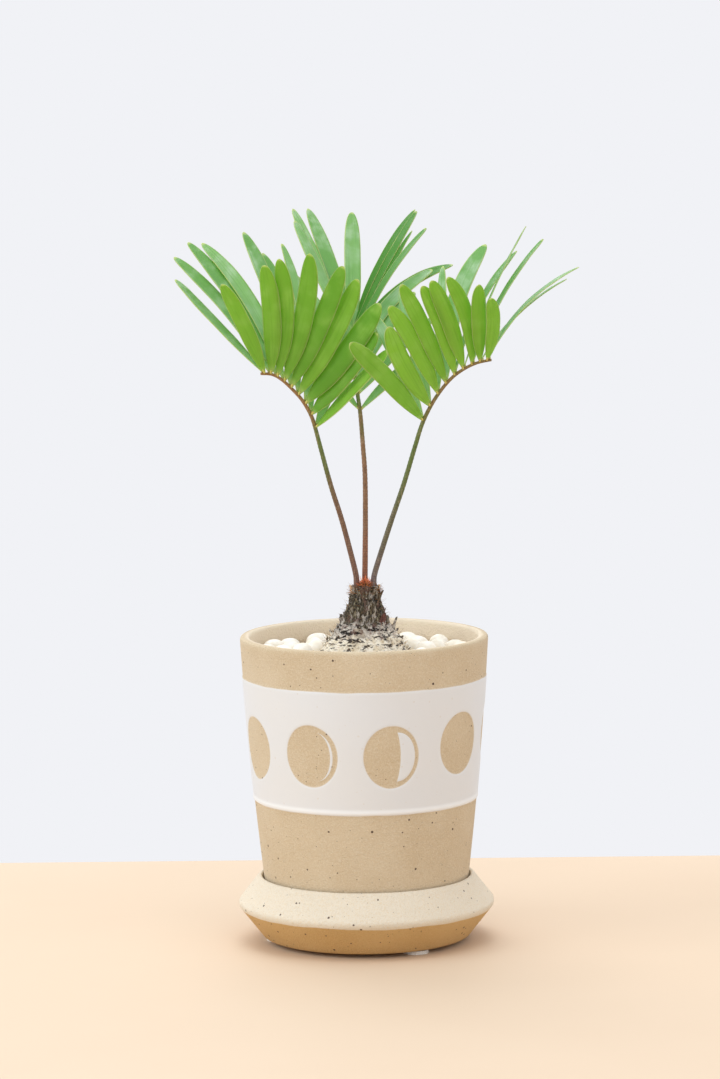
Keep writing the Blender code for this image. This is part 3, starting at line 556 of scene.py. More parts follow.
@dataclass(frozen=True)
class StonewareFinish:
    """Sandy speckled stoneware: bare, with a white glaze band, or with cream above a line that is
    partly slip and partly painted light from above.
    """

    name: str
    clay: Colour = screen(214, 196, 166)
    clay_deep: Colour = screen(199, 176, 141)
    clay_pale: Colour = screen(232, 220, 198)
    fleck: Colour = screen(66, 40, 28)
    # Whiter pooled glaze: partly thicker glaze, partly a painted highlight along the ridge it forms
    glaze: Colour = screen(222, 223, 224)
    thick_glaze_and_highlight: Colour = screen(240, 240, 238)
    band: MoonBand | None = None
    # Whether the inner wall above the soil gets a lighter colour, painted light from the front and
    # top
    painted_light_inside: bool = False
    # Height above which the cream lies: partly slip, partly painted light on the upward-facing face
    slip_and_painted_light_from: float | None = None

    def build(self) -> bpy.types.Material:
        """Make the material."""
        graph = ShaderGraph(self.name)
        shift = (-AXIS.x, -AXIS.y, 0.0)
        place = graph.out("ShaderNodeMapping", {"Vector": graph.place(), "Location": shift})
        cloud = graph.noise(place, 30.0, 4.0)
        sand = graph.noise(place, 1500.0, 3.0, 0.65)
        base = graph.blend(graph.mapped(cloud, 0.25, 0.75, 0.25, 0.85), self.clay_deep, self.clay)
        if self.slip_and_painted_light_from is not None:
            # Cream above the line: partly slip, partly painted light on the upward-facing bevel and
            # upper face
            base = graph.blend(self.slip_and_painted_light_mask(graph, place), base, screen(230, 220, 201))
        base = graph.blend(graph.mapped(sand, 0.42, 0.75, 0.0, 0.5), base, self.clay_pale)
        base = graph.blend(graph.mapped(sand, 0.45, 0.2, 0.0, 0.4), base, self.clay_deep)
        large = graph.specks(place, 4.1 * MM, (0.05, 0.16), 0.8)
        small = graph.specks(place, 2.4 * MM, (0.04, 0.15), 0.35)
        dots = graph.math("MAXIMUM", large, graph.math("MULTIPLY", small, 0.75))
        base = graph.blend(graph.math("MULTIPLY", dots, 0.92), base, self.fleck)
        wrinkle = graph.noise(place, 900.0, 2.0, 0.5)
        grain = graph.bump(graph.math("ADD", sand, wrinkle), 0.42 * MM, 1.0)
        # Lighter colour on the inner wall above the soil: painted light from the front and top
        if self.painted_light_inside:
            base = graph.blend(self.painted_light_inside_mask(graph, place), base, screen(234, 218, 194))
        if self.band is None:
            return graph.finish(base, graph.mapped(sand, 0.3, 0.7, 0.78, 0.92), grain)

        white = self.band.mask(graph, place)
        height = graph.add("ShaderNodeSeparateXYZ", {0: place}).outputs["Z"]
        milk = graph.noise(place, 22.0, 3.0)
        shine = graph.blend(graph.mapped(milk, 0.3, 0.7, 0.0, 0.10), self.glaze, self.clay_pale)
        # Whiter glaze just above the band's lower edge: partly thicker pooled glaze, partly a painted
        # highlight along the ridge it forms
        low = self.band.low
        thick = graph.math("MULTIPLY", graph.mapped(height, low, low + 0.8 * MM),
                           graph.mapped(height, low + 3.4 * MM, low + 1.8 * MM))
        shine = graph.blend(graph.math("MULTIPLY", thick, 0.7), shine, self.thick_glaze_and_highlight)
        buried = graph.math("MULTIPLY", dots, 0.2)
        shine = graph.blend(buried, shine, self.clay_deep)
        colour = graph.blend(white, base, shine)
        pool = graph.noise(place, 160.0, 2.0)
        calm = graph.bump(pool, 0.10 * MM, 0.3)
        normal = graph.tree.nodes.new("ShaderNodeMix")
        normal.data_type = "VECTOR"
        graph.feed(graph.pick(normal.inputs, "Factor"), white)
        graph.feed(graph.pick(normal.inputs, "A"), grain)
        graph.feed(graph.pick(normal.inputs, "B"), calm)
        rough = graph.math("MULTIPLY_ADD", white, -0.46, 0.86)
        return graph.finish(colour, rough, graph.pick(normal.outputs, "Result"))

    @staticmethod
    def painted_light_inside_mask(graph: ShaderGraph, place: Any) -> bpy.types.NodeSocket:
        """Mask of the painted light on the inner wall inside the pot's rim.

        Args:
            graph: The material's tree.
            place: Coordinates about the pot's axis.

        Returns:
            The mask, 1 on the inner wall above the soil.
        """
        split = graph.add("ShaderNodeSeparateXYZ", {0: place}).outputs
        flat = graph.out("ShaderNodeCombineXYZ", {"X": split["X"], "Y": split["Y"]})
        reach = graph.vector("LENGTH", flat, key="Value")
        within = graph.mapped(reach, 59.0 * MM, 56.8 * MM)
        return graph.math("MULTIPLY", within, graph.mapped(split["Z"], 130.0 * MM, 134.0 * MM))

    def slip_and_painted_light_mask(self, graph: ShaderGraph, place: Any) -> bpy.types.NodeSocket:
        """Mask of the cream, partly slip and partly painted light on the upward-facing face:
        everything above a slightly wavering line.

        Args:
            graph: The material's tree.
            place: Coordinates about the pot's axis.

        Returns:
            The mask, 1 where the slip and the painted light lie.
        """
        height = graph.add("ShaderNodeSeparateXYZ", {0: place}).outputs["Z"]
        wobble = graph.math("MULTIPLY_ADD", graph.noise(place, 60.0, 3.0), 1.6 * MM, -0.8 * MM)
        level = graph.math("ADD", height, wobble)
        return graph.mapped(level, self.slip_and_painted_light_from - 0.25 * MM, self.slip_and_painted_light_from + 0.25 * MM)


class LeafFace(Enum):
    """Faces of a leaflet that have a finish of their own."""

    UPPER = "leaf_upper"
    UNDER = "leaf_underside"
    MARGIN = "leaf_margin"


@dataclass(frozen=True)
class LeafFinish:
    """Thin translucent leaflet with fine parallel veins."""

    face: LeafFace
    tone: Colour
    deep: Colour
    # Colour of the pale mottle and veins; the mottle also paints a sheen towards the tip
    pale: Colour
    glow: Colour
    see_through: float
    roughness: float

    def build(self) -> bpy.types.Material:
        """Make the material, which reads the leaflet's own UV map and shade."""
        graph = ShaderGraph(self.face.value)
        uv = graph.add("ShaderNodeUVMap", uv_map="UVMap").outputs[0]
        split = graph.add("ShaderNodeSeparateXYZ", {0: uv}).outputs
        shade = graph.add("ShaderNodeAttribute", attribute_name="shade").outputs["Fac"]
        place = graph.place()
        # How far each leaflet is painted a darker, less glossy green
        darker_green = graph.add("ShaderNodeAttribute", attribute_name="darker_green").outputs["Fac"]
        mottle = graph.noise(place, 110.0, 4.0)
        own = graph.out("ShaderNodeCombineXYZ", {
            "X": split["X"], "Y": split["Y"], "Z": graph.math("MULTIPLY", shade, 9.0)})
        streak = graph.noise(graph.stretched(own, (9.0, 2.6, 3.0)), 1.0, 3.0)
        lines = graph.noise(graph.stretched(own, (34.0, 1.6, 3.0)), 1.0, 1.0)
        ribs = graph.math("SINE", graph.math("MULTIPLY", split["X"], 2.0 * math.pi * 15.0))
        vein = graph.math("MULTIPLY_ADD", ribs, 0.5, 0.5)
        tint = graph.blend(shade, self.tone, self.deep)
        # Pale mottle that grows towards the tip: partly the leaflet's own mottle, partly a painted
        # sheen near the tips
        mottle_and_tip_sheen = graph.mapped(split["Y"], 0.35, 0.95, 0.25, 0.75)
        calm = graph.math("MULTIPLY_ADD", darker_green, -0.7, 1.0)
        mottle_and_tip_sheen = graph.math("MULTIPLY", mottle_and_tip_sheen, calm)
        pale_spots_and_sheen = graph.math("MULTIPLY", graph.mapped(mottle, 0.42, 0.70), mottle_and_tip_sheen)
        tint = graph.blend(pale_spots_and_sheen, tint, self.pale)
        tint = graph.blend(graph.mapped(streak, 0.48, 0.72, 0.0, 0.55), tint, self.deep)
        tint = graph.blend(graph.mapped(lines, 0.45, 0.75, 0.0, 0.35), tint, self.deep)
        tint = graph.blend(graph.math("MULTIPLY", vein, 0.14), tint, self.pale)
        tint = graph.blend(graph.math("MULTIPLY", darker_green, 0.9), tint, screen(78, 142, 44))
        side = graph.math("ABSOLUTE", graph.math("MULTIPLY_ADD", split["X"], 2.0, -1.0))
        brim = graph.math("MAXIMUM", graph.mapped(side, 0.88, 0.98),
                          graph.mapped(split["Y"], 0.975, 0.995))
        foot = graph.mapped(split["Y"], 0.085, 0.012)
        bright = graph.math("MAXIMUM", graph.math("MULTIPLY", brim, 0.8), foot)
        tint = graph.blend(bright, tint, screen(218, 228, 152))
        glow = graph.blend(graph.math("MULTIPLY", lines, 0.35), self.glow, self.tone)
        glow = graph.blend(darker_green, glow, screen(96, 164, 36))
        glow = graph.blend(graph.math("MULTIPLY", brim, 0.7), glow, screen(224, 232, 150))
        normal = graph.bump(mottle, 0.3 * MM, 0.08)
        graph.finish(tint, self.roughness, normal)
        gloss = graph.math("MULTIPLY_ADD", darker_green, -0.38, 0.45)
        graph.feed(graph.shader.inputs["Specular IOR Level"], gloss)
        through = graph.add("ShaderNodeBsdfTranslucent", {"Color": glow, "Normal": normal})
        both = graph.add(
            "ShaderNodeMixShader",
            {0: self.see_through, 1: graph.shader.outputs[0], 2: through.outputs[0]})
        graph.feed(graph.output.inputs["Surface"], both.outputs[0])
        return graph.material


@dataclass(frozen=True)
class StalkFinish:
    """Ringed brown stalk that turns green higher up."""

    name: str
    foot: Colour
    middle: Colour
    rachis: Colour
    upper: Colour = screen(92, 110, 46)
    green_from: float = 0.34
    dark: Colour = screen(44, 30, 22)
    light: Colour = screen(172, 150, 124)

    def build(self) -> bpy.types.Material:
        """Make the material, which reads how far along the stalk it is."""
        graph = ShaderGraph(self.name)
        place = graph.place()
        along = graph.add("ShaderNodeAttribute", attribute_name="along").outputs["Fac"]
        patch = graph.noise(graph.stretched(place, (1.0, 1.0, 0.35)), 300.0, 3.0)
        fine = graph.noise(graph.stretched(place, (1.0, 1.0, 0.3)), 1500.0, 3.0)
        height = graph.math("ADD", along, graph.math("MULTIPLY_ADD", patch, 0.3, -0.15))
        tint = graph.blend(graph.mapped(height, 0.05, 0.3), self.foot, self.middle)
        tint = graph.blend(graph.mapped(height, self.green_from, self.green_from + 0.28),
                           tint, self.upper)
        tint = graph.blend(graph.mapped(height, 0.6, 0.78), tint, self.rachis)
        tint = graph.blend(graph.mapped(fine, 0.52, 0.72, 0.0, 0.45), tint, self.dark)
        tint = graph.blend(graph.mapped(fine, 0.46, 0.3, 0.0, 0.45), tint, self.light)
        turns = graph.math("SINE", graph.math("MULTIPLY", along, 2.0 * math.pi * 110.0))
        rings = graph.mapped(turns, 0.6, 1.0)
        faded = graph.mapped(along, 0.5, 0.25, 0.0, 0.35)
        tint = graph.blend(graph.math("MULTIPLY", rings, faded), tint, self.dark)
        relief = graph.math("ADD", fine, graph.math("MULTIPLY", rings, 0.4))
        return graph.finish(tint, 0.5, graph.bump(relief, 0.2 * MM, 0.5))


@dataclass(frozen=True)
class BarkFinish:
    """Dark mottled bark above, grey plates below it and a pale cracked flare at the foot."""

    name: str = "bark_skin"
    black: Colour = screen(30, 24, 20)
    earth: Colour = screen(104, 92, 70)
    fleck: Colour = screen(190, 180, 152)
    brown: Colour = screen(116, 84, 74)
    grey: Colour = screen(206, 196, 184)
    pale: Colour = screen(248, 240, 224)
    straw: Colour = screen(228, 214, 188)
    crack: Colour = screen(48, 36, 30)
    grey_top_z: float = 157.0 * MM
    pale_top_z: float = 151.0 * MM

    def build(self) -> bpy.types.Material:
        """Make the material."""
        graph = ShaderGraph(self.name)
        place = graph.place()
        fibre = graph.noise(graph.stretched(place, (1.0, 1.0, 0.5)), 1100.0, 5.0, 0.75)
        patch = graph.noise(place, 260.0, 4.0, 0.6)
        strips = graph.noise(graph.stretched(place, (1.0, 1.0, 0.3)), 420.0, 4.0, 0.65)
        blotch = graph.noise(graph.stretched(place, (1.0, 1.0, 0.7)), 210.0, 3.0, 0.6)
        plates = graph.noise(graph.stretched(place, (1.0, 1.0, 2.6)), 230.0, 4.0, 0.62)
        squiggle = graph.noise(graph.stretched(place, (1.0, 1.0, 2.2)), 480.0, 4.0, 0.66)
        height = graph.add("ShaderNodeSeparateXYZ", {0: place}).outputs["Z"]
        drift = graph.math("MULTIPLY_ADD", patch, 16.0 * MM, -8.0 * MM)
        level = graph.math("ADD", height, drift)
        upper = graph.blend(graph.mapped(fibre, 0.40, 0.58), self.black, self.earth)
        upper = graph.blend(graph.mapped(fibre, 0.58, 0.66, 0.0, 0.8), upper, self.fleck)
        upper = graph.blend(graph.mapped(strips, 0.53, 0.60, 0.0, 0.65), upper, self.grey)
        upper = graph.blend(graph.mapped(blotch, 0.55, 0.63, 0.0, 0.55), upper, self.brown)
        upper = graph.blend(graph.mapped(blotch, 0.44, 0.36, 0.0, 0.75), upper, self.black)
        plate = graph.blend(graph.mapped(plates, 0.43, 0.49), self.black, self.grey)
        plate = graph.blend(graph.mapped(squiggle, 0.43, 0.38, 0.0, 0.8), plate, self.black)
        plate = graph.blend(graph.mapped(blotch, 0.54, 0.62, 0.0, 0.6), plate, self.brown)
        lower = graph.blend(graph.mapped(blotch, 0.4, 0.65), self.pale, self.straw)
        lower = graph.blend(graph.mapped(plates, 0.46, 0.41, 0.0, 0.95), lower, self.crack)
        lower = graph.blend(graph.mapped(squiggle, 0.41, 0.36, 0.0, 0.9), lower, self.crack)
        tint = graph.blend(self.below(graph, level, self.grey_top_z), upper, plate)
        tint = graph.blend(self.below(graph, level, self.pale_top_z), tint, lower)
        relief = graph.math("ADD", fibre, graph.math("MULTIPLY", plates, 0.8))
        return graph.finish(tint, 0.9, graph.bump(relief, 0.6 * MM, 0.9))

    @staticmethod
    def below(graph: ShaderGraph, level: Any, height: float) -> bpy.types.NodeSocket:
        """Mask of what lies below a height, with a soft edge."""
        return graph.mapped(level, height + 1.5 * MM, height - 1.5 * MM)


@dataclass(frozen=True)
class PebbleFinish:
    """Chalky cream stone with a few dark pits."""

    name: str
    tone: Colour = screen(252, 249, 242)
    shade: Colour = screen(240, 231, 214)
    pit: Colour = screen(110, 96, 78)

    def build(self) -> bpy.types.Material:
        """Make the material."""
        graph = ShaderGraph(self.name)
        place = graph.place()
        cloud = graph.noise(place, 170.0, 4.0)
        grain = graph.noise(place, 1800.0, 4.0, 0.6)
        tint = graph.blend(graph.mapped(cloud, 0.35, 0.68), self.shade, self.tone)
        dots = graph.specks(place, 3.4 * MM, (0.02, 0.12), 0.35)
        tint = graph.blend(graph.math("MULTIPLY", dots, 0.7), tint, self.pit)
        return graph.finish(tint, graph.mapped(grain, 0.3, 0.7, 0.62, 0.85),
                            graph.bump(grain, 0.12 * MM, 0.6))


@dataclass(frozen=True)
class ScatteredFinish:
    """Plain matte stuff whose tone shifts from spot to spot, such as soil, wool or felt."""

    name: str
    first: Colour
    second: Colour
    spot: float
    relief: float
    roughness: float = 0.95

    def build(self) -> bpy.types.Material:
        """Make the material."""
        graph = ShaderGraph(self.name)
        place = graph.place()
        fine = graph.noise(place, 1.0 / self.spot, 4.0, 0.6)
        tint = graph.blend(graph.mapped(fine, 0.35, 0.65), self.first, self.second)
        return graph.finish(tint, self.roughness, graph.bump(fine, self.relief, 0.8))


# Geometry Nodes trees shared by several pieces


class ScatterTree(GeometryGraph):
    """Scatters copies of a small shape over a surface, each standing on it with its Y axis up."""

    def __init__(self) -> None:
        """Build the tree."""
        super().__init__("scatter", {
            "Shape": "NodeSocketObject", "Spread": "NodeSocketFloat", "Number": "NodeSocketFloat",
            "Smallest": "NodeSocketFloat", "Largest": "NodeSocketFloat",
            "Lean": "NodeSocketFloat", "Seed": "NodeSocketInt"})
        inlet = self.inlet
        points = self.add("GeometryNodeDistributePointsOnFaces", {
            "Mesh": inlet["Geometry"], "Distance Min": inlet["Spread"],
            "Density Max": inlet["Number"], "Seed": inlet["Seed"]},
            distribute_method="POISSON")
        outward = self.out("FunctionNodeAlignRotationToVector", {
            "Vector": points.outputs["Normal"]}, axis="Z")
        upright = self.out("FunctionNodeAlignRotationToVector", {
            "Rotation": outward, "Vector": (0.0, 0.0, 1.0)}, axis="Y", pivot_axis="Z")
        lean = inlet["Lean"]
        low = self.out("ShaderNodeCombineXYZ", {
            "X": 0.0, "Y": self.math("MULTIPLY", lean, -0.5), "Z": self.math("MULTIPLY", lean, -1.0)})
        high = self.out("ShaderNodeCombineXYZ", {
            "X": lean, "Y": self.math("MULTIPLY", lean, 0.5), "Z": lean})
        tilt = self.random(low, high, self.math("ADD", inlet["Seed"], 1.0), "FLOAT_VECTOR")
        turned = self.out("FunctionNodeRotateRotation", {
            "Rotation": upright,
            "Rotate By": self.out("FunctionNodeEulerToRotation", {0: tilt})},
            rotation_space="LOCAL")
        size = self.random(inlet["Smallest"], inlet["Largest"],
                           self.math("ADD", inlet["Seed"], 2.0))
        shape = self.out("GeometryNodeObjectInfo", {"Object": inlet["Shape"]}, key="Geometry")
        copies = self.out("GeometryNodeInstanceOnPoints", {
            "Points": points.outputs["Points"], "Instance": shape, "Rotation": turned,
            "Scale": size})
        self.close(copies)


class StalkTree(GeometryGraph):
    """Sweeps a round section along a line, with the girth given at each point and low rings."""

    def __init__(self) -> None:
        """Build the tree."""
        super().__init__("stalk", {
            "Sides": "NodeSocketInt", "Rings": "NodeSocketFloat", "Relief": "NodeSocketFloat",
            "Seed": "NodeSocketFloat"})
        inlet = self.inlet
        line = self.out("GeometryNodeMeshToCurve", {"Mesh": inlet["Geometry"]})
        share = self.out("GeometryNodeSplineParameter", key="Factor")
        line = self.store(line, "along", share, "FLOAT")
        section = self.out("GeometryNodeCurvePrimitiveCircle", {
            "Resolution": inlet["Sides"], "Radius": 1.0}, mode="RADIUS")
        tube = self.out("GeometryNodeCurveToMesh", {
            "Curve": line, "Profile Curve": section, "Scale": self.named("girth"),
            "Fill Caps": True})
        wave = self.math("SINE", self.math(
            "MULTIPLY", self.named("along"), self.math("MULTIPLY", inlet["Rings"], 2.0 * math.pi)))
        ring = self.math("POWER", self.math("MULTIPLY_ADD", wave, 0.5, 0.5), 6.0)
        grain = self.out("ShaderNodeTexNoise", {
            "Vector": self.out("GeometryNodeInputPosition"), "W": inlet["Seed"], "Scale": 420.0,
            "Detail": 3.0}, noise_dimensions="4D")
        rise = self.math("MULTIPLY", self.math("ADD", ring, grain), inlet["Relief"])
        offset = self.scaled(self.out("GeometryNodeInputNormal"), rise)
        tube = self.out("GeometryNodeSetPosition", {"Geometry": tube, "Offset": offset})
        self.close(tube)


class LeafletTree(GeometryGraph):
    """Grows one blade from each point: arched, twisted, hollowed and narrowed at both ends."""

    def __init__(self, outline: Callable[[float], float]) -> None:
        """Build the tree.

        Args:
            outline: Width of a blade at a share of its length, as a share of its widest.
        """
        super().__init__("leaflets", {
            "Columns": "NodeSocketInt", "Stations": "NodeSocketInt", "Ripple": "NodeSocketFloat"})
        inlet = self.inlet
        sheet = self.add("GeometryNodeMeshGrid", {
            "Size X": 2.0, "Size Y": 1.0, "Vertices X": inlet["Columns"],
            "Vertices Y": inlet["Stations"]}).outputs
        corner = self.out("GeometryNodeInputPosition")
        split = self.add("ShaderNodeSeparateXYZ", {0: corner}).outputs
        rest = self.math("SUBTRACT", 0.5, split["Y"])
        share = self.math("SUBTRACT", 1.0, self.math("POWER", rest, 1.5))
        place = self.out("ShaderNodeCombineXYZ", {"X": split["X"], "Y": share})
        blade = self.store(sheet["Mesh"], "blade", place, "FLOAT_VECTOR")
        half = self.math("MULTIPLY_ADD", split["X"], 0.5, 0.5)
        chart = self.out("ShaderNodeCombineXYZ", {"X": half, "Y": share})
        blade = self.store(blade, "UVMap", chart, "FLOAT2", "CORNER")
        copies = self.out("GeometryNodeInstanceOnPoints", {
            "Points": inlet["Geometry"], "Instance": blade})
        real = self.out("GeometryNodeRealizeInstances", {"Geometry": copies})

        spot = self.add("ShaderNodeSeparateXYZ", {0: self.named("blade", "FLOAT_VECTOR")}).outputs
        side, way = spot["X"], spot["Y"]
        length, width = self.named("length"), self.named("width")
        along, across = self.named("aim", "FLOAT_VECTOR"), self.named("across", "FLOAT_VECTOR")
        swing = self.math("MULTIPLY", self.named("twist"), way)
        across = self.out("ShaderNodeVectorRotate", {
            "Vector": across, "Axis": along, "Angle": swing}, rotation_type="AXIS_ANGLE")
        through = self.vector("CROSS_PRODUCT", across, along)
        arch = self.math("MULTIPLY", self.math(
            "MULTIPLY", way, self.math("SUBTRACT", 1.0, way)), 4.0)
        rise = self.math("MULTIPLY", self.math("MULTIPLY", arch, self.named("bow")), length)
        sweep = self.math("MULTIPLY", self.math("MULTIPLY", arch, self.named("sway")), length)

        profile = self.tree.nodes.new("ShaderNodeFloatCurve")
        self.shape_profile(profile.mapping, outline)
        self.feed(profile.inputs["Value"], way)
        wide = self.math("MULTIPLY", self.math("MULTIPLY", width, 0.5), profile.outputs[0])
        out_to = self.math("MULTIPLY", side, wide)
        hollow = self.math("MULTIPLY", self.math(
            "MULTIPLY", self.math("POWER", self.math("ABSOLUTE", side), 1.6), wide),
            self.named("cup"))
        wander = self.out("ShaderNodeTexNoise", {
            "Vector": self.out("ShaderNodeCombineXYZ", {
                "X": self.math("MULTIPLY", side, 0.6), "Y": self.math("MULTIPLY", way, 5.0),
                "Z": self.math("MULTIPLY", self.named("shade"), 40.0)}),
            "Scale": 1.0, "Detail": 1.0})
        flutter = self.math("MULTIPLY", self.math(
            "SUBTRACT", wander, 0.5), self.math("MULTIPLY", inlet["Ripple"], way))
        lift = self.math("ADD", hollow, flutter)

        ahead = self.scaled(along, self.math("MULTIPLY", way, length))
        spine = self.vector("ADD", self.named("root", "FLOAT_VECTOR"), ahead)
        spine = self.vector("ADD", spine, self.scaled(self.named("up", "FLOAT_VECTOR"), rise))
        spine = self.vector("ADD", spine, self.scaled(
            self.named("aside", "FLOAT_VECTOR"), sweep))
        sheetwise = self.vector("ADD", self.scaled(across, out_to), self.scaled(through, lift))
        grown = self.out("GeometryNodeSetPosition", {
            "Geometry": real, "Position": self.vector("ADD", spine, sheetwise)})
        self.close(grown)

    @staticmethod
    def shape_profile(mapping: bpy.types.CurveMapping,
                      outline: Callable[[float], float]) -> None:
        """Lay a float curve's points on the outline."""
        curve = mapping.curves[0]
        shares = [0.0, 0.04, 0.09, 0.16, 0.25, 0.35, 0.45, 0.55, 0.65, 0.75, 0.84, 0.9, 0.95,
                  0.985, 1.0]
        curve.points[0].location = (shares[0], outline(shares[0]))
        curve.points[-1].location = (shares[-1], outline(shares[-1]))
        for share in shares[1:-1]:
            curve.points.new(share, outline(share))
        mapping.update()


class PebbleTree(GeometryGraph):
    """Sets a lumpy stone on each point, with the size and turn that the point carries."""

    def __init__(self) -> None:
        """Build the tree."""
        super().__init__("pebbles", {
            "Fineness": "NodeSocketInt", "Lumps": "NodeSocketFloat", "Floor": "NodeSocketFloat"})
        inlet = self.inlet
        ball = self.out("GeometryNodeMeshIcoSphere", {
            "Radius": 1.0, "Subdivisions": inlet["Fineness"]})
        copies = self.out("GeometryNodeInstanceOnPoints", {
            "Points": inlet["Geometry"], "Instance": ball,
            "Rotation": self.out("FunctionNodeEulerToRotation", {
                0: self.named("turn", "FLOAT_VECTOR")}),
            "Scale": self.named("size", "FLOAT_VECTOR")})
        real = self.out("GeometryNodeRealizeInstances", {"Geometry": copies})
        place = self.out("GeometryNodeInputPosition")
        lump = self.out("ShaderNodeTexNoise", {"Vector": place, "Scale": 150.0, "Detail": 2.0})
        rise = self.math("MULTIPLY", self.math("SUBTRACT", lump, 0.5), inlet["Lumps"])
        shaped = self.out("GeometryNodeSetPosition", {
            "Geometry": real, "Offset": self.scaled(self.out("GeometryNodeInputNormal"), rise)})
        split = self.add("ShaderNodeSeparateXYZ", {
            0: self.out("GeometryNodeInputPosition")}).outputs
        held = self.math("MAXIMUM", split["Z"], inlet["Floor"])
        level = self.out("ShaderNodeCombineXYZ", {"X": split["X"], "Y": split["Y"], "Z": held})
        self.close(self.out("GeometryNodeSetPosition", {"Geometry": shaped, "Position": level}))


# Sub-assemblies


@dataclass
class Turned:
    """Shapes turned about the pot's axis."""

    columns: int = 256

    def profile_corner(self, before: Point, corner: Point, after: Point,
                       steps: int = 6) -> list[tuple[float, float]]:
        """Round off one corner of an outline.

        Args:
            before: The point before the corner, as radius, height and rounding.
            corner: The corner.
            after: The point after it.
            steps: How many facets the rounding gets.

        Returns:
            The points that take the corner's place.
        """
        here = Vector(corner[:2])
        if corner[2] <= 0.0:
            return [tuple(here)]
        back, ahead = Vector(before[:2]) - here, Vector(after[:2]) - here
        reach = min(corner[2], back.length / 2.0, ahead.length / 2.0)
        start, end = here + back.normalized() * reach, here + ahead.normalized() * reach
        shares = [step / steps for step in range(steps + 1)]
        return [tuple(start * (1 - s) ** 2 + here * 2 * s * (1 - s) + end * s * s) for s in shares]

    def rounded(self, outline: Sequence[Point], closed: bool) -> list[tuple[float, float]]:
        """Outline with its corners rounded off."""
        points: list[tuple[float, float]] = []
        count = len(outline)
        for index, corner in enumerate(outline):
            if not closed and index in (0, count - 1):
                points.append(corner[:2])
                continue
            before, after = outline[index - 1], outline[(index + 1) % count]
            points += self.profile_corner(before, corner, after)
        return points

    @staticmethod
    def refined(points: Sequence[tuple[float, float]], closed: bool,
                pitch: Callable[[float, float], float]) -> list[tuple[float, float]]:
        """Outline cut into steps no longer than the pitch wanted at each place.

        Args:
            points: The outline.
            closed: Whether its last point joins its first.
            pitch: Longest step at a radius and a height.

        Returns:
            The finer outline.
        """
        ends = list(points[1:]) + ([points[0]] if closed else [])
        fine: list[tuple[float, float]] = []
        for start, end in zip(points, ends):
            run = math.dist(start, end)
            middle = ((start[0] + end[0]) / 2.0, (start[1] + end[1]) / 2.0)
            steps = max(1, math.ceil(run / pitch(*middle)))
            for step in range(steps):
                fine.append((mix((start[0], end[0]), step / steps),
                             mix((start[1], end[1]), step / steps)))
        if not closed:
            fine.append(tuple(points[-1]))
        return fine

    def spun(self, name: str, points: Sequence[tuple[float, float]], closed: bool,
             relief: Callable[[np.ndarray, np.ndarray, np.ndarray], np.ndarray] | None = None,
             ) -> bpy.types.Mesh:
        """Turn an outline about the axis.

        Args:
            name: The mesh's name.
            points: The outline, anticlockwise seen with the axis on its left.
            closed: Whether it closes on itself. An open one starts and ends on the axis.
            relief: What to add to the radius, from angle, radius and height.

        Returns:
            The closed mesh, its faces pointing out.
        """
        body = np.array(points if closed else points[1:-1])
        angle = np.arange(self.columns) * 2.0 * math.pi / self.columns
        turn, row = np.meshgrid(angle, np.arange(len(body)))
        radius, height = body[row, 0], body[row, 1]
        if relief is not None:
            radius = radius + relief(turn, radius, height)
        verts = np.stack([
            AXIS.x + radius * np.sin(turn), AXIS.y - radius * np.cos(turn), height], -1)
        verts = verts.reshape(-1, 3).tolist()
        faces = []
        rows = len(body) if closed else len(body) - 1
        for line in range(rows):
            upper = (line + 1) % len(body)
            for column in range(self.columns):
                after = (column + 1) % self.columns
                faces.append((
                    line * self.columns + column, line * self.columns + after,
                    upper * self.columns + after, upper * self.columns + column))
        if not closed:
            first, last = len(verts), len(verts) + 1
            verts += [(AXIS.x, AXIS.y, points[0][1]), (AXIS.x, AXIS.y, points[-1][1])]
            top = (len(body) - 1) * self.columns
            for column in range(self.columns):
                after = (column + 1) % self.columns
                faces.append((first, after, column))
                faces.append((last, top + column, top + after))
        mesh = Workshop.from_lists(name, verts, faces)
        bm = bmesh.new()
        bm.from_mesh(mesh)
        bmesh.ops.recalc_face_normals(bm, faces=bm.faces)
        bm.to_mesh(mesh)
        bm.free()
        return mesh


@dataclass
class Saucer(Turned):
    """Saucer with a sloping upper face, a rounded ridge and a cone going in to its foot."""

    base: float = 2.0 * MM
    foot: float = 50.2 * MM
    ridge: float = 62.6 * MM
    ridge_z: float = 19.0 * MM
    lip: float = 52.6 * MM
    lip_z: float = 32.4 * MM
    floor_z: float = 9.0 * MM
    well: float = 51.1 * MM
    well_foot: float = 49.0 * MM

    def outline(self) -> list[Point]:
        """Outline from the foot's middle out, over the ridge and down into the well."""
        return [
            (0.0, self.base, 0.0), (self.foot, self.base, 1.6 * MM),
            (self.ridge - 0.2 * MM, self.ridge_z - 1.4 * MM, 2.2 * MM),
            (self.ridge, self.ridge_z + 0.6 * MM, 1.6 * MM),
            (self.lip, self.lip_z, 0.8 * MM), (self.well, self.lip_z, 0.9 * MM),
            (self.well_foot, self.floor_z, 2.0 * MM), (0.0, self.floor_z, 0.0)]

    def build(self, clay: bpy.types.Material) -> None:
        """Make the saucer and stand it in for its solid."""
        points = self.refined(self.rounded(self.outline(), False), False, lambda r, z: 2.0 * MM)

        def wander(turn: np.ndarray, radius: np.ndarray, height: np.ndarray) -> np.ndarray:
            """Slight unevenness of a hand-finished edge."""
            return 0.10 * MM * np.sin(3.0 * turn + 0.7) * (radius > 40.0 * MM)

        mesh = self.spun("saucer_dish", points, False, wander)
        mesh.materials.append(clay)
        Workshop.hand_over(Workshop.thing("saucer_dish", mesh), "saucer", "saucer_clay", 50.0)


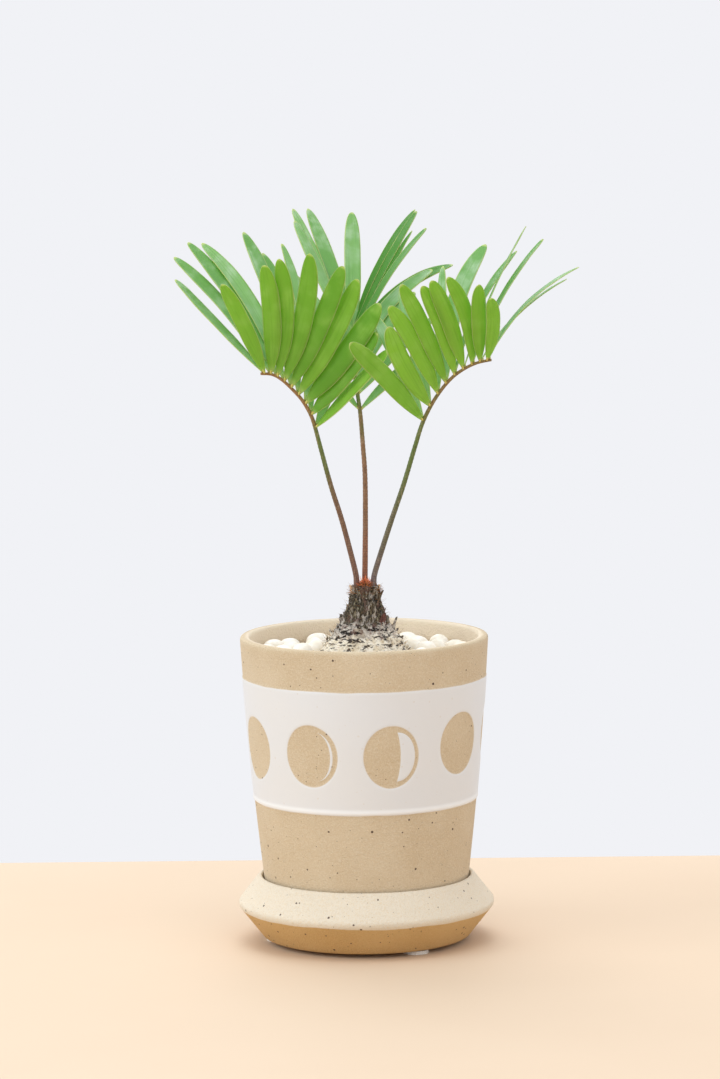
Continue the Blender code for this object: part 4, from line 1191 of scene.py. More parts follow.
@dataclass
class Pot(Turned):
    """Tapered pot with a rounded rim, a drain hole and a raised glaze band."""

    columns: int = 500
    base: float = 9.3 * MM
    rim: float = 150.5 * MM
    wall: float = 4.9 * MM
    floor: float = 6.2 * MM
    drain: float = 7.0 * MM
    glaze_height: float = 0.34 * MM
    pool_height: float = 0.32 * MM
    band: MoonBand = field(default_factory=MoonBand)

    @staticmethod
    def radius(height: float) -> float:
        """Outer radius of the bare clay at a height above the ground."""
        rise = height - 33.8 * MM
        return 50.4 * MM + 0.115 * rise - 0.24 * rise * rise

    def outline(self) -> list[Point]:
        """Closed outline: out along the foot, up the outside, over the rim and down inside."""
        floor = self.base + self.floor
        heights = np.linspace(self.base + 4.0 * MM, self.rim - 4.0 * MM, 30)
        outside = [(self.radius(z), z, 0.0) for z in heights]
        inside = [(self.radius(z) - self.wall, z, 0.0) for z in heights[::-1] if z > floor + 5 * MM]
        return [
            (self.drain, self.base, 0.5 * MM), (self.radius(self.base), self.base, 1.5 * MM),
            *outside, (self.radius(self.rim), self.rim, 2.5 * MM),
            (self.radius(self.rim) - self.wall, self.rim, 2.3 * MM), *inside,
            (self.radius(floor) - self.wall, floor, 4.0 * MM), (self.drain, floor, 0.8 * MM)]

    def relief(self, turn: np.ndarray, radius: np.ndarray, height: np.ndarray) -> np.ndarray:
        """Glaze standing on the clay, and the slight unevenness of a hand-finished pot."""
        angle = np.mod(turn + math.pi, 2.0 * math.pi) - math.pi
        skin = np.array([[self.radius(z) for z in row] for row in height[:, :1]])
        outside = radius > skin - 1.0 * MM
        band = self.band
        cover = band.white(angle, height, 0.9 * MM)
        pool = np.exp(-((height - band.low - 1.1 * MM) / (1.1 * MM)) ** 2)
        uneven = 0.12 * MM * np.sin(2.0 * turn + 0.4) * np.sin(height * 40.0)
        return (self.glaze_height * cover + self.pool_height * pool * cover + uneven) * outside

    def pitch(self, radius: float, height: float) -> float:
        """Longest step of the outline: short over the glaze band, long elsewhere."""
        over_band = self.band.low - 2.0 * MM < height < self.band.high + 2.0 * MM
        if over_band and radius > self.radius(height) - 1.0 * MM:
            return 0.75 * MM
        return 5.0 * MM

    def build(self, clay: bpy.types.Material) -> None:
        """Make the pot and stand it in for its solid."""
        points = self.refined(self.rounded(self.outline(), True), True, self.pitch)
        mesh = self.spun("pot_body", points, True, self.relief)
        mesh.materials.append(clay)
        Workshop.hand_over(Workshop.thing("pot_body", mesh), "pot", "pot_clay", 60.0)


@dataclass
class Pebbles:
    """White stones in three rings round the trunk, on a bed of grit."""

    seed: int = 13
    rings: tuple[tuple[float, int], ...] = ((30.6 * MM, 11), (39.6 * MM, 14), (48.2 * MM, 19))
    size: float = 6.4 * MM
    low: float = SOIL_TOP_Z + 0.3 * MM
    lift: float = 2.2 * MM
    bed_height: float = 1.8 * MM
    bed_inner: float = 24.6 * MM
    grains_inner: float = 23.3 * MM
    bed_outer: float = 54.0 * MM

    def stones(self) -> bpy.types.Mesh:
        """Points that carry the size and turn of each stone."""
        draw = Random(self.seed)
        places, sizes, turns = [], [], []
        for ring, (radius, count) in enumerate(self.rings):
            for number in range(count):
                angle = 360.0 * (number + 0.5 * ring) / count + draw.uniform(-3.0, 3.0)
                size = self.size * draw.uniform(0.86, 1.0)
                sizes.append([size * draw.uniform(*span) for span in (
                    (0.95, 1.12), (0.8, 0.95), (0.72, 0.85))])
                turns.append((0.0, 0.0, math.radians(angle + draw.uniform(-25.0, 25.0))))
                rise = self.lift + draw.uniform(-0.4 * MM, 0.7 * MM)
                places.append(front_point(angle, radius, self.low + rise) + AXIS)
        mesh = Workshop.from_lists("stone_places", places)
        Workshop.attribute(mesh, "size", sizes, "FLOAT_VECTOR")
        Workshop.attribute(mesh, "turn", turns, "FLOAT_VECTOR")
        return mesh

    def build(self, stone: bpy.types.Material, grit: bpy.types.Material,
              tree: PebbleTree, scatter: ScatterTree) -> None:
        """Make the stones and the grit between them.

        Args:
            stone: Finish of the stones.
            grit: Finish of the grit.
            tree: The tree that makes the stones.
            scatter: The tree that scatters the grit.
        """
        stones = Workshop.thing("pebble_stones", self.stones())
        tree.use_on(stones, stone, Fineness=4, Lumps=1.1 * MM, Floor=self.low + 0.4 * MM)
        Workshop.hand_over(Workshop.settle(stones), "pebbles", "white_stone")

        bed = self.bed(self.bed_inner)
        bed.materials.append(grit)
        Workshop.hand_over(Workshop.thing("grit_bed", bed), "pebbles", "white_stone", 40.0)

        grain = Workshop.thing("grain_shape", self.grain())
        grains = Workshop.thing("grit_grains", self.bed(self.grains_inner))
        scatter.use_on(grains, grit, Shape=grain, Spread=1.9 * MM, Number=400000.0,
                       Smallest=0.7 * MM, Largest=1.5 * MM, Lean=1.2, Seed=5)
        Workshop.settle(grains)
        Workshop.discard(grain)
        Workshop.hand_over(grains, "pebbles", "white_stone")

    def bed(self, inner: float) -> bpy.types.Mesh:
        """Flat ring of grit.

        Args:
            inner: Radius of the hole that the trunk stands in.

        Returns:
            The closed ring.
        """
        turned = Turned(columns=96)
        high = self.low + self.bed_height
        outline = [(inner, self.low, 0.3 * MM), (self.bed_outer, self.low, 0.3 * MM),
                   (self.bed_outer, high, 0.6 * MM), (inner, high, 0.6 * MM)]
        points = turned.refined(turned.rounded(outline, True), True, lambda r, z: 4.0 * MM)
        return turned.spun("grit_bed", points, True)

    @staticmethod
    def grain() -> bpy.types.Mesh:
        """One small rough grain."""
        bm = bmesh.new()
        bmesh.ops.create_icosphere(bm, subdivisions=1, radius=1.0)
        for vert in bm.verts:
            vert.co *= 0.8 + 0.4 * noise.noise(vert.co * 1.7)
        mesh = bpy.data.meshes.new("grain_shape")
        bm.to_mesh(mesh)
        bm.free()
        return mesh


class FlakeKind(Enum):
    """Kinds of large flake, numbered by their place among the materials."""

    BARK = 0
    RUST = 1
    HUSK = 2


@dataclass
class Trunk:
    """Flared trunk with its flakes of bark, fibres and the woolly tuft in the crown."""

    profile: tuple[tuple[float, float], ...] = (
        (112.0, 5.0), (118.0, 12.5), (128.0, 19.0), (137.0, 22.6), (142.5, 21.2), (148.2, 18.2),
        (151.4, 15.2), (155.7, 12.0), (160.6, 9.8), (166.0, 7.7), (171.5, 6.7), (174.6, 6.3))
    columns: int = 180
    rows: int = 110
    crown_x: float = 0.9 * MM
    # Height, angle from the front, length, width, lean outwards and kind of the large flakes
    flakes: tuple[tuple[float, float, float, float, float, FlakeKind], ...] = (
        (150.0, 97.0, 8.8, 2.8, 6.0, FlakeKind.BARK), (154.5, 54.0, 7.5, 6.0, 8.0, FlakeKind.RUST),
        (163.5, 92.0, 8.5, 3.0, 11.0, FlakeKind.BARK),
        (161.0, 268.0, 8.0, 3.5, -4.0, FlakeKind.BARK),
        (157.0, 268.0, 4.5, 3.0, 4.0, FlakeKind.BARK),
        (148.5, 272.0, 4.5, 4.5, 10.0, FlakeKind.BARK),
        (165.0, 280.0, 10.0, 4.5, 4.0, FlakeKind.HUSK),
        (165.0, 76.0, 10.0, 4.5, 4.0, FlakeKind.HUSK),
        (158.0, 20.0, 10.0, 6.0, 14.0, FlakeKind.BARK),
        (157.0, 330.0, 10.0, 6.0, 16.0, FlakeKind.BARK),
        (150.0, 350.0, 9.0, 6.0, 38.0, FlakeKind.BARK),
        (150.0, 140.0, 8.5, 6.0, 20.0, FlakeKind.BARK),
        (157.0, 180.0, 10.0, 6.0, 16.0, FlakeKind.RUST),
        (150.0, 215.0, 10.0, 6.0, 36.0, FlakeKind.BARK),
        (165.0, 140.0, 9.0, 4.5, 8.0, FlakeKind.HUSK), (165.0, 220.0, 9.0, 4.5, 8.0, FlakeKind.HUSK),
        (165.5, 345.0, 9.0, 5.0, 8.0, FlakeKind.BARK))

    def centre(self, height: float) -> Vector:
        """Middle of the trunk at a height."""
        share = (height - SOIL_TOP_Z) / (TRUNK_TOP_Z - SOIL_TOP_Z)
        return AXIS + Vector((self.crown_x * min(max(share, 0.0), 1.0), 0.0, height))

    def radius(self, height: float) -> float:
        """Radius of the trunk at a height above the ground."""
        heights, radii = zip(*self.profile)
        return float(np.interp(height / MM, heights, radii)) * MM

    def bark(self, angle: float, height: float) -> float:
        """How far the bark stands out at a place, in metres."""
        if height < SOIL_TOP_Z - 1.0 * MM:
            return 0.0
        turn = math.radians(angle)
        spot = Vector((math.sin(turn), -math.cos(turn), 0.0))
        rise = height / MM
        low = min(max((156.0 - rise) / 10.0, 0.0), 1.0)
        strips = noise.fractal(Vector((spot.x * 7.0, spot.y * 7.0, rise * 0.10)), 0.9, 2.1, 4)
        plates = noise.fractal(Vector((spot.x * 3.2, spot.y * 3.2, rise * 0.42)), 0.9, 2.1, 4)
        steps = noise.noise(Vector((spot.x * 2.4, spot.y * 2.4, rise * 0.16))) * 5.0 + rise / 3.4
        shelf = (steps - math.floor(steps)) - 0.5
        return (strips * mix((0.75, 0.3), low) + plates * mix((0.3, 0.8), low)
                - shelf * mix((0.7, 0.45), low)) * MM

    def stem(self) -> bpy.types.Mesh:
        """Mesh of the trunk itself, closed at both ends."""
        heights = np.concatenate([
            np.linspace(112.0, 134.0, 8, endpoint=False), np.linspace(134.0, 174.6, self.rows)])
        verts: list[Vector] = []
        for height in heights * MM:
            for column in range(self.columns):
                angle = 360.0 * column / self.columns
                reach = self.radius(height) + self.bark(angle, height)
                verts.append(self.centre(height) + front_point(angle, reach, 0.0))
        faces: list[tuple[int, ...]] = []
        for row in range(len(heights) - 1):
            for column in range(self.columns):
                after = (column + 1) % self.columns
                faces.append((
                    row * self.columns + column, row * self.columns + after,
                    (row + 1) * self.columns + after, (row + 1) * self.columns + column))
        last = (len(heights) - 1) * self.columns
        foot, crown = len(verts), len(verts) + 1
        verts += [self.centre(heights[0] * MM), self.centre(TRUNK_TOP_Z)]
        for column in range(self.columns):
            after = (column + 1) % self.columns
            faces += [(foot, after, column), (crown, last + column, last + after)]
        return Workshop.from_lists("trunk_stem", verts, faces)

    def flake(self, bm: bmesh.types.BMesh, height: float, angle: float, length: float,
              width: float, lean: float, kind: FlakeKind, draw: Random) -> None:
        """Add one ragged flake of bark, rooted in the trunk.

        Args:
            bm: The mesh to add to.
            height: Height of its root above the ground, in metres.
            angle: Its angle from the front, in degrees.
            length: Its length.
            width: Its width.
            lean: How far it leans out, in degrees.
            kind: What it is made of.
            draw: Source of its ragged edge.
        """
        outwards = front_point(angle, 1.0, 0.0)
        root = self.centre(height) + outwards * (self.radius(height) - 1.2 * MM)
        sideways = Vector((0.0, 0.0, 1.0)).cross(outwards)
        tilt = math.radians(lean)
        along = outwards * math.sin(tilt) + Vector((0.0, 0.0, 1.0)) * math.cos(tilt)
        depth = sideways.cross(along)
        rings = []
        steps, columns = 9, 6
        for step in range(steps + 1):
            share = step / steps
            wide = width * (0.85 + 0.35 * share - 1.05 * share ** 3) / 2.0
            curl = depth * (-0.9 * MM * math.sin(share * math.pi))
            middle = root + along * length * (share * 1.2 - 0.2) + curl
            ragged = draw.uniform(-0.12, 0.12) * width * share
            thick = mix((0.9 * MM, 0.25 * MM), share)
            front, back = [], []
            for column in range(columns + 1):
                across = 2.0 * column / columns - 1.0
                jag = draw.uniform(-0.4, 0.4) * MM * share
                place = middle + sideways * (wide * across + ragged) + along * jag
                place = place - depth * (across * across * 0.6 * MM)
                front.append(bm.verts.new(place + depth * thick / 2.0))
                back.append(bm.verts.new(place - depth * thick / 2.0))
            rings.append(front + back[::-1])
        made = [bm.faces.new(rings[0][::-1]), bm.faces.new(rings[-1])]
        for lower, upper in zip(rings, rings[1:]):
            for index in range(len(lower)):
                after = (index + 1) % len(lower)
                made.append(bm.faces.new((lower[index], lower[after], upper[after], upper[index])))
        for face in made:
            face.material_index = kind.value

    def large_flakes(self) -> bpy.types.Mesh:
        """Mesh of all the large flakes."""
        draw = Random(10)
        bm = bmesh.new()
        for height, angle, length, width, lean, kind in self.flakes:
            self.flake(bm, height * MM, angle, length * MM, width * MM, lean, kind, draw)
        bmesh.ops.recalc_face_normals(bm, faces=bm.faces)
        mesh = bpy.data.meshes.new("bark_flakes")
        bm.to_mesh(mesh)
        bm.free()
        return mesh

    @staticmethod
    def scale_shape() -> bpy.types.Mesh:
        """One small bark scale, standing along its Y axis with its back to the trunk."""
        bm = bmesh.new()
        rings = []
        for share, wide, out in ((0.0, 0.8, 0.0), (0.35, 1.0, 0.14), (0.7, 0.75, 0.2),
                                 (1.0, 0.2, 0.34)):
            front = [bm.verts.new((wide * x * 0.42, share, out + 0.10 - 0.10 * x * x))
                     for x in (-1.0, -0.35, 0.35, 1.0)]
            back = [bm.verts.new((wide * x * 0.42, share, out - 0.06)) for x in (1.0, -1.0)]
            rings.append(front + back)
        for lower, upper in zip(rings, rings[1:]):
            for index in range(6):
                after = (index + 1) % 6
                bm.faces.new((lower[index], lower[after], upper[after], upper[index]))
        bm.faces.new(rings[0][::-1])
        bm.faces.new(rings[-1])
        bmesh.ops.recalc_face_normals(bm, faces=bm.faces)
        mesh = bpy.data.meshes.new("scale_shape")
        bm.to_mesh(mesh)
        bm.free()
        return mesh

    @staticmethod
    def hair_shape(bend: float = 0.25, root: float = 0.05) -> bpy.types.Mesh:
        """One bristle standing along Z, bent towards Y, with the given share as its root's radius."""
        bm = bmesh.new()
        rings = []
        for share in (0.0, 0.3, 0.6, 0.85, 1.0):
            girth = root * (1.0 - 0.85 * share)
            middle = Vector((0.0, bend * share * share, share))
            rings.append([bm.verts.new(middle + Vector((
                girth * math.cos(a), girth * math.sin(a), 0.0))) for a in (0.0, 2.094, 4.189)])
        for lower, upper in zip(rings, rings[1:]):
            for index in range(3):
                after = (index + 1) % 3
                bm.faces.new((lower[index], lower[after], upper[after], upper[index]))
        bm.faces.new(rings[0][::-1])
        bm.faces.new(rings[-1])
        mesh = bpy.data.meshes.new("hair_shape")
        bm.to_mesh(mesh)
        bm.free()
        return mesh

    def collar(self, low: float, high: float, outset: float, capped: bool) -> bpy.types.Mesh:
        """Band of the trunk's surface between two heights, to scatter things on.

        Args:
            low: The lower height.
            high: The upper height.
            outset: How far the band stands off the trunk's plain radius.
            capped: Whether the band goes on over the top.

        Returns:
            The band.
        """
        verts, faces = [], []
        rows, columns = 12, 36
        for row in range(rows + 1):
            height = mix((low, high), row / rows)
            for column in range(columns):
                angle = 360.0 * column / columns
                reach = self.radius(height) + outset
                verts.append(self.centre(height) + front_point(angle, reach, 0.0))
        for row in range(rows):
            for column in range(columns):
                after = (column + 1) % columns
                faces.append((row * columns + column, row * columns + after,
                              (row + 1) * columns + after, (row + 1) * columns + column))
        if capped:
            faces.append(tuple(range(rows * columns, (rows + 1) * columns)))
        return Workshop.from_lists("collar", verts, faces)

    def build(self, kinds: dict[FlakeKind, bpy.types.Material], wool: bpy.types.Material,
              fibre: bpy.types.Material, scatter: ScatterTree) -> None:
        """Make the trunk, its flakes and its hairs.

        Args:
            kinds: Finish of each kind of flake. The trunk itself takes the bark's.
            wool: Finish of the orange tuft.
            fibre: Finish of the fibres.
            scatter: The tree that scatters scales and hairs.
        """
        bark = kinds[FlakeKind.BARK]
        stem = self.stem()
        stem.materials.append(bark)
        Workshop.hand_over(Workshop.thing("trunk_stem", stem), "caudex", "bark", 55.0)
        flakes = self.large_flakes()
        for kind in FlakeKind:
            flakes.materials.append(kinds[kind])
        Workshop.hand_over(Workshop.thing("bark_flakes", flakes), "caudex", "bark", 40.0)

        scale = Workshop.thing("scale_shape", self.scale_shape())
        hair = Workshop.thing("hair_shape", self.hair_shape(0.35, 0.06))
        stray = Workshop.thing("stray_shape", self.hair_shape(0.5, 0.028))
        coats = (
            ("bark_scales", (150.0, 168.5, -0.9), bark, scale, 1.1, (1.2, 3.0), 0.45, 3),
            ("flare_chips", (139.0, 152.0, -0.3), bark, scale, 3.2, (1.2, 2.8), 1.0, 4),
            ("crown_fibres", (171.0, 174.6, -0.2), fibre, hair, 0.55, (1.8, 3.0), 0.7, 8),
            ("stray_hairs", (146.0, 174.0, -0.4), fibre, stray, 2.2, (2.0, 4.2), 1.0, 9))
        for name, (low, high, outset), finish, shape, spread, sizes, lean, seed in coats:
            coat = Workshop.thing(name, self.collar(
                low * MM, high * MM, outset * MM, capped=finish is fibre))
            scatter.use_on(coat, finish, Shape=shape, Spread=spread * MM, Number=1500000.0,
                           Smallest=sizes[0] * MM, Largest=sizes[1] * MM, Lean=lean, Seed=seed)
            Workshop.settle(coat)
            Workshop.hand_over(coat, "caudex", "bark")

        bm = bmesh.new()
        bmesh.ops.create_uvsphere(bm, u_segments=24, v_segments=12, radius=1.0)
        for vert in bm.verts:
            vert.co.x *= 2.5 * MM
            vert.co.y *= 2.3 * MM
            vert.co.z *= 2.2 * MM
        middle = AXIS + Vector((0.9 * MM, -1.7 * MM, TRUNK_TOP_Z + 0.3 * MM))
        bmesh.ops.translate(bm, verts=bm.verts, vec=middle)
        mound = bpy.data.meshes.new("wool_mound")
        bm.to_mesh(mound)
        bm.free()
        tuft = Workshop.thing("wool_tuft", mound)
        scatter.use_on(tuft, wool, Shape=hair, Spread=0.35 * MM, Number=4000000.0,
                       Smallest=1.6 * MM, Largest=3.2 * MM, Lean=0.5, Seed=11)
        Workshop.settle(tuft)
        Workshop.hand_over(tuft, "crown_wool", "wool")
        Workshop.discard(scale, hair, stray)


@dataclass(frozen=True)
class LeafletRow:
    """One row of leaflets, from the stalk to the frond's tip."""

    lean: tuple[float, ...]
    length: tuple[float, ...]
    width: tuple[float, ...]
    turn: tuple[float, ...]
    sway: tuple[float, ...]
    reach: tuple[float, float]
    bow: tuple[float, float]
    underside_shows: bool = False
    # How much darker a green each leaflet is painted, and the range each leaflet's tone is drawn from
    # between light and deep; on the near rows that range also paints shade on the left frond's
    # leaflets and light on the right frond's
    darker_green: tuple[float, ...] = (0.0,) * 9
    tone_range_and_painted_light: tuple[float, float] = (0.0, 1.0)


@dataclass
class Frond:
    """One frond: its stalk, its leaflets and the small swellings that they stand on."""

    side: str
    route: tuple[Point, ...]
    pairs: tuple[float, float]
    near: LeafletRow
    far: LeafletRow
    rings: int = 140
    thickness: float = 0.36 * MM
    socket_depth: float = 7.0 * MM
    pair_ease: float = 1.4

    @staticmethod
    def outline(share: float) -> float:
        """Width of a leaflet at a share of its length, as a share of its widest."""
        if share < 0.45:
            return 0.10 + 0.90 * (1.0 - (1.0 - share / 0.45) ** 2.2)
        if share < 0.62:
            return 1.0
        rest = (share - 0.62) / 0.38
        return max(1.0 - rest ** 2.6, 0.07 ** 2) ** 0.5

    def path(self) -> list[Vector]:
        """Points along the stalk from its foot to its tip."""
        start = Vector(self.route[0]) * MM
        foot = Vector((start.x, start.y, TRUNK_TOP_Z - self.socket_depth))
        points = [foot] + [Vector(point) * MM for point in self.route]
        return [point + AXIS for point in smooth_route(points, self.rings)]

    @staticmethod
    def girth(share: float) -> float:
        """Radius of the stalk at a share of its length."""
        if share < 0.6:
            return mix((1.4, 0.98), share / 0.6) * MM
        return mix((0.98, 0.62), (share - 0.6) / 0.4) * MM

    def stalk(self) -> bpy.types.Mesh:
        """Line along the stalk that carries its girth."""
        path = self.path()
        edges = [(index, index + 1) for index in range(len(path) - 1)]
        mesh = Workshop.from_lists(f"{self.side}_stalk", path, edges=edges)
        Workshop.attribute(
            mesh, "girth", [self.girth(index / (len(path) - 1)) for index in range(len(path))])
        return mesh

    def seeds(self) -> bpy.types.Mesh:
        """Points on the stalk that carry the shape of each leaflet."""
        path = self.path()
        draw = Random(f"{self.side}_leaflets")
        places: list[Vector] = []
        data: dict[str, list[Any]] = {key: [] for key in (
            "aim", "across", "up", "aside", "root", "length", "width", "bow", "sway", "cup",
            "twist", "shade", "darker_green")}
        for row in (self.near, self.far):
            count = len(row.lean)
            for number in range(count):
                share = number / (count - 1)
                crowded = share * (self.pair_ease + (1.0 - self.pair_ease) * share)
                spot = mix(self.pairs, crowded) * (len(path) - 1)
                index = min(int(spot), len(path) - 2)
                root = path[index].lerp(path[index + 1], spot - index)
                tilt = math.radians(row.lean[number])
                forward = math.radians(mix(row.reach, share))
                aim = Vector((math.sin(tilt) * math.cos(forward), -math.sin(forward),
                              math.cos(tilt) * math.cos(forward)))
                aside = aim.cross(Vector((0.0, 1.0, 0.0))).normalized()
                across = Matrix.Rotation(math.radians(row.turn[number]), 3, aim) @ aside
                if (across.cross(aim).y > 0.0) != row.underside_shows:
                    across.negate()
                up = -(Vector((0.0, 0.0, -1.0)) + aim * aim.z).normalized()
                places.append(root)
                for key, value in (
                        ("aim", aim), ("across", across), ("up", up), ("aside", aside),
                        ("root", root), ("length", row.length[number] * MM),
                        ("width", row.width[number] * MM), ("bow", mix(row.bow, share)),
                        ("sway", row.sway[number]), ("cup", draw.uniform(0.05, 0.12)),
                        ("twist", math.radians(draw.uniform(-9.0, 9.0))),
                        # Each row's tone range; on the near rows of the left and right fronds it
                        # paints shade and light
                        ("shade", draw.uniform(*row.tone_range_and_painted_light)), ("darker_green", row.darker_green[number])):
                    data[key].append(value)
        mesh = Workshop.from_lists(f"{self.side}_leaflets", places)
        for key, values in data.items():
            kind = "FLOAT_VECTOR" if isinstance(values[0], Vector) else "FLOAT"
            Workshop.attribute(mesh, key, values, kind)
        return mesh

    def swellings(self) -> bpy.types.Mesh:
        """Points that carry the size and turn of the swelling under each leaflet."""
        seeds = self.seeds()
        count = len(seeds.vertices)
        aims = [Vector(seeds.attributes["aim"].data[i].vector) for i in range(count)]
        places = [seeds.vertices[i].co + aims[i] * 0.9 * MM for i in range(count)]
        mesh = Workshop.from_lists(f"{self.side}_leaflet_feet", places)
        turns = [aim.to_track_quat("Z", "Y").to_euler() for aim in aims]
        Workshop.attribute(mesh, "turn", [tuple(turn) for turn in turns], "FLOAT_VECTOR")
        Workshop.attribute(
            mesh, "size", [(0.62 * MM, 0.62 * MM, 1.7 * MM)] * count, "FLOAT_VECTOR")
        bpy.data.meshes.remove(seeds)
        return mesh

    def build(self, skin: bpy.types.Material, faces: dict[LeafFace, bpy.types.Material],
              foot: bpy.types.Material, stalk_tree: StalkTree, leaflet_tree: LeafletTree,
              pebble_tree: PebbleTree) -> None:
        """Make the frond's pieces.

        Args:
            skin: Finish of the stalk.
            faces: Finish of each face of a leaflet.
            foot: Finish of the swellings.
            stalk_tree: The tree that sweeps the stalk.
            leaflet_tree: The tree that grows the leaflets.
            pebble_tree: The tree that sets the swellings.
        """
        node = f"frond_{self.side}"
        stalk = Workshop.thing(f"{self.side}_stalk", self.stalk())
        stalk_tree.use_on(stalk, skin, Sides=14, Rings=70.0, Relief=0.10 * MM,
                          Seed=float(len(self.side)))
        Workshop.hand_over(Workshop.settle(stalk), node, "leaf_green")

        leaves = Workshop.thing(f"{self.side}_leaflets", self.seeds())
        leaflet_tree.use_on(leaves, faces[LeafFace.UPPER], Columns=9, Stations=30,
                            Ripple=0.9 * MM)
        sheets = Workshop.settle(leaves)
        sheets.data.materials.append(faces[LeafFace.UNDER])
        sheets.data.materials.append(faces[LeafFace.MARGIN])
        wall = sheets.modifiers.new("thickness", "SOLIDIFY")
        wall.thickness = self.thickness
        wall.offset = 0.0
        wall.material_offset = 1
        wall.material_offset_rim = 2
        Workshop.hand_over(Workshop.settle(sheets), node, "leaf_green")

        feet = Workshop.thing(f"{self.side}_leaflet_feet", self.swellings())
        pebble_tree.use_on(feet, foot, Fineness=2, Lumps=0.1 * MM, Floor=0.0)
        Workshop.hand_over(Workshop.settle(feet), node, "leaf_green")


@dataclass(frozen=True)
class Studio:
    """Camera, soft lights and a pale floor."""

    eye: Vector = AXIS + Vector((-1.46 * MM, -2412.4 * MM, 499.3 * MM))
    pitch: float = 7.139
    roll: float = 0.601
    lens: float = 166.82
    sensor: float = 36.0
    floor_back: float = 0.21

    def camera(self) -> None:
        """Place the camera where the photograph was taken from."""
        data = bpy.data.cameras.new("camera")
        data.lens = self.lens
        data.sensor_width = self.sensor
        thing = bpy.data.objects.new("camera", data)
        bpy.context.scene.collection.objects.link(thing)
        p, r = math.radians(self.pitch), math.radians(self.roll)
        right = Vector((math.cos(r), -math.sin(r) * math.sin(p), -math.sin(r) * math.cos(p)))
        up = Vector((math.sin(r), math.cos(r) * math.sin(p), math.cos(r) * math.cos(p)))
        back = Vector((0.0, -math.cos(p), math.sin(p)))
        turn = Matrix((right, up, back)).transposed().to_4x4()
        thing.matrix_world = Matrix.Translation(self.eye) @ turn
        bpy.context.scene.camera = thing

    def floor(self) -> None:
        """Pale floor that ends a little behind the pot."""
        bm = bmesh.new()
        bmesh.ops.create_cube(bm, size=1.0)
        bmesh.ops.scale(bm, verts=bm.verts, vec=(2.4, 1.2, 0.03))
        bmesh.ops.translate(bm, verts=bm.verts, vec=(0.0, self.floor_back - 0.6, -0.015))
        mesh = bpy.data.meshes.new("floor")
        bm.to_mesh(mesh)
        bm.free()
        thing = Workshop.thing("floor", mesh)
        bevel = thing.modifiers.new("edge", "BEVEL")
        bevel.width = 0.004
        bevel.segments = 4
        graph = ShaderGraph("floor_paint")
        cloud = graph.noise(graph.place(), 6.0, 3.0)
        tint = graph.blend(cloud, screen(226, 204, 178), screen(221, 197, 170))
        mesh.materials.append(graph.finish(tint, 0.75))

    @staticmethod
    def lamp(name: str, place: Point, aim: Point, size: float, power: float,
             colour: Colour) -> None:
        """Add a soft area light.

        Args:
            name: Its name.
            place: Where it stands.
            aim: The point that it shines on.
            size: The side of its square.
            power: Its power in watts.
            colour: Its colour.
        """
        data = bpy.data.lights.new(name, "AREA")
        data.shape = "SQUARE"
        data.size = size
        data.energy = power
        data.color = colour
        thing = bpy.data.objects.new(name, data)
        bpy.context.scene.collection.objects.link(thing)
        thing.location = place
        way = Vector(aim) - Vector(place)
        thing.rotation_euler = way.to_track_quat("-Z", "Y").to_euler()

    def lights(self) -> None:
        """Soft key from the left, lights above and behind, and pale surroundings."""
        middle = (0.0, 0.0, 0.18)
        self.lamp("key", (-1.7, -0.7, 1.0), middle, 1.2, 12.0, (0.82, 0.93, 1.0))
        self.lamp("top_front", (0.1, -0.7, 2.0), middle, 1.0, 8.0, (1.0, 0.99, 0.97))
        self.lamp("top_back", (-0.3, 1.1, 1.6), middle, 1.2, 12.0, (1.0, 1.0, 1.0))
        world = bpy.data.worlds.new("surroundings")
        world.use_nodes = True
        bpy.context.scene.world = world
        sky = world.node_tree.nodes["Background"]
        sky.inputs["Color"].default_value = (*screen(241, 242, 246), 1.0)

    def build(self) -> None:
        """Set up the whole studio."""
        bpy.context.scene.view_settings.view_transform = "Standard"
        self.camera()
        self.floor()
        self.lights()


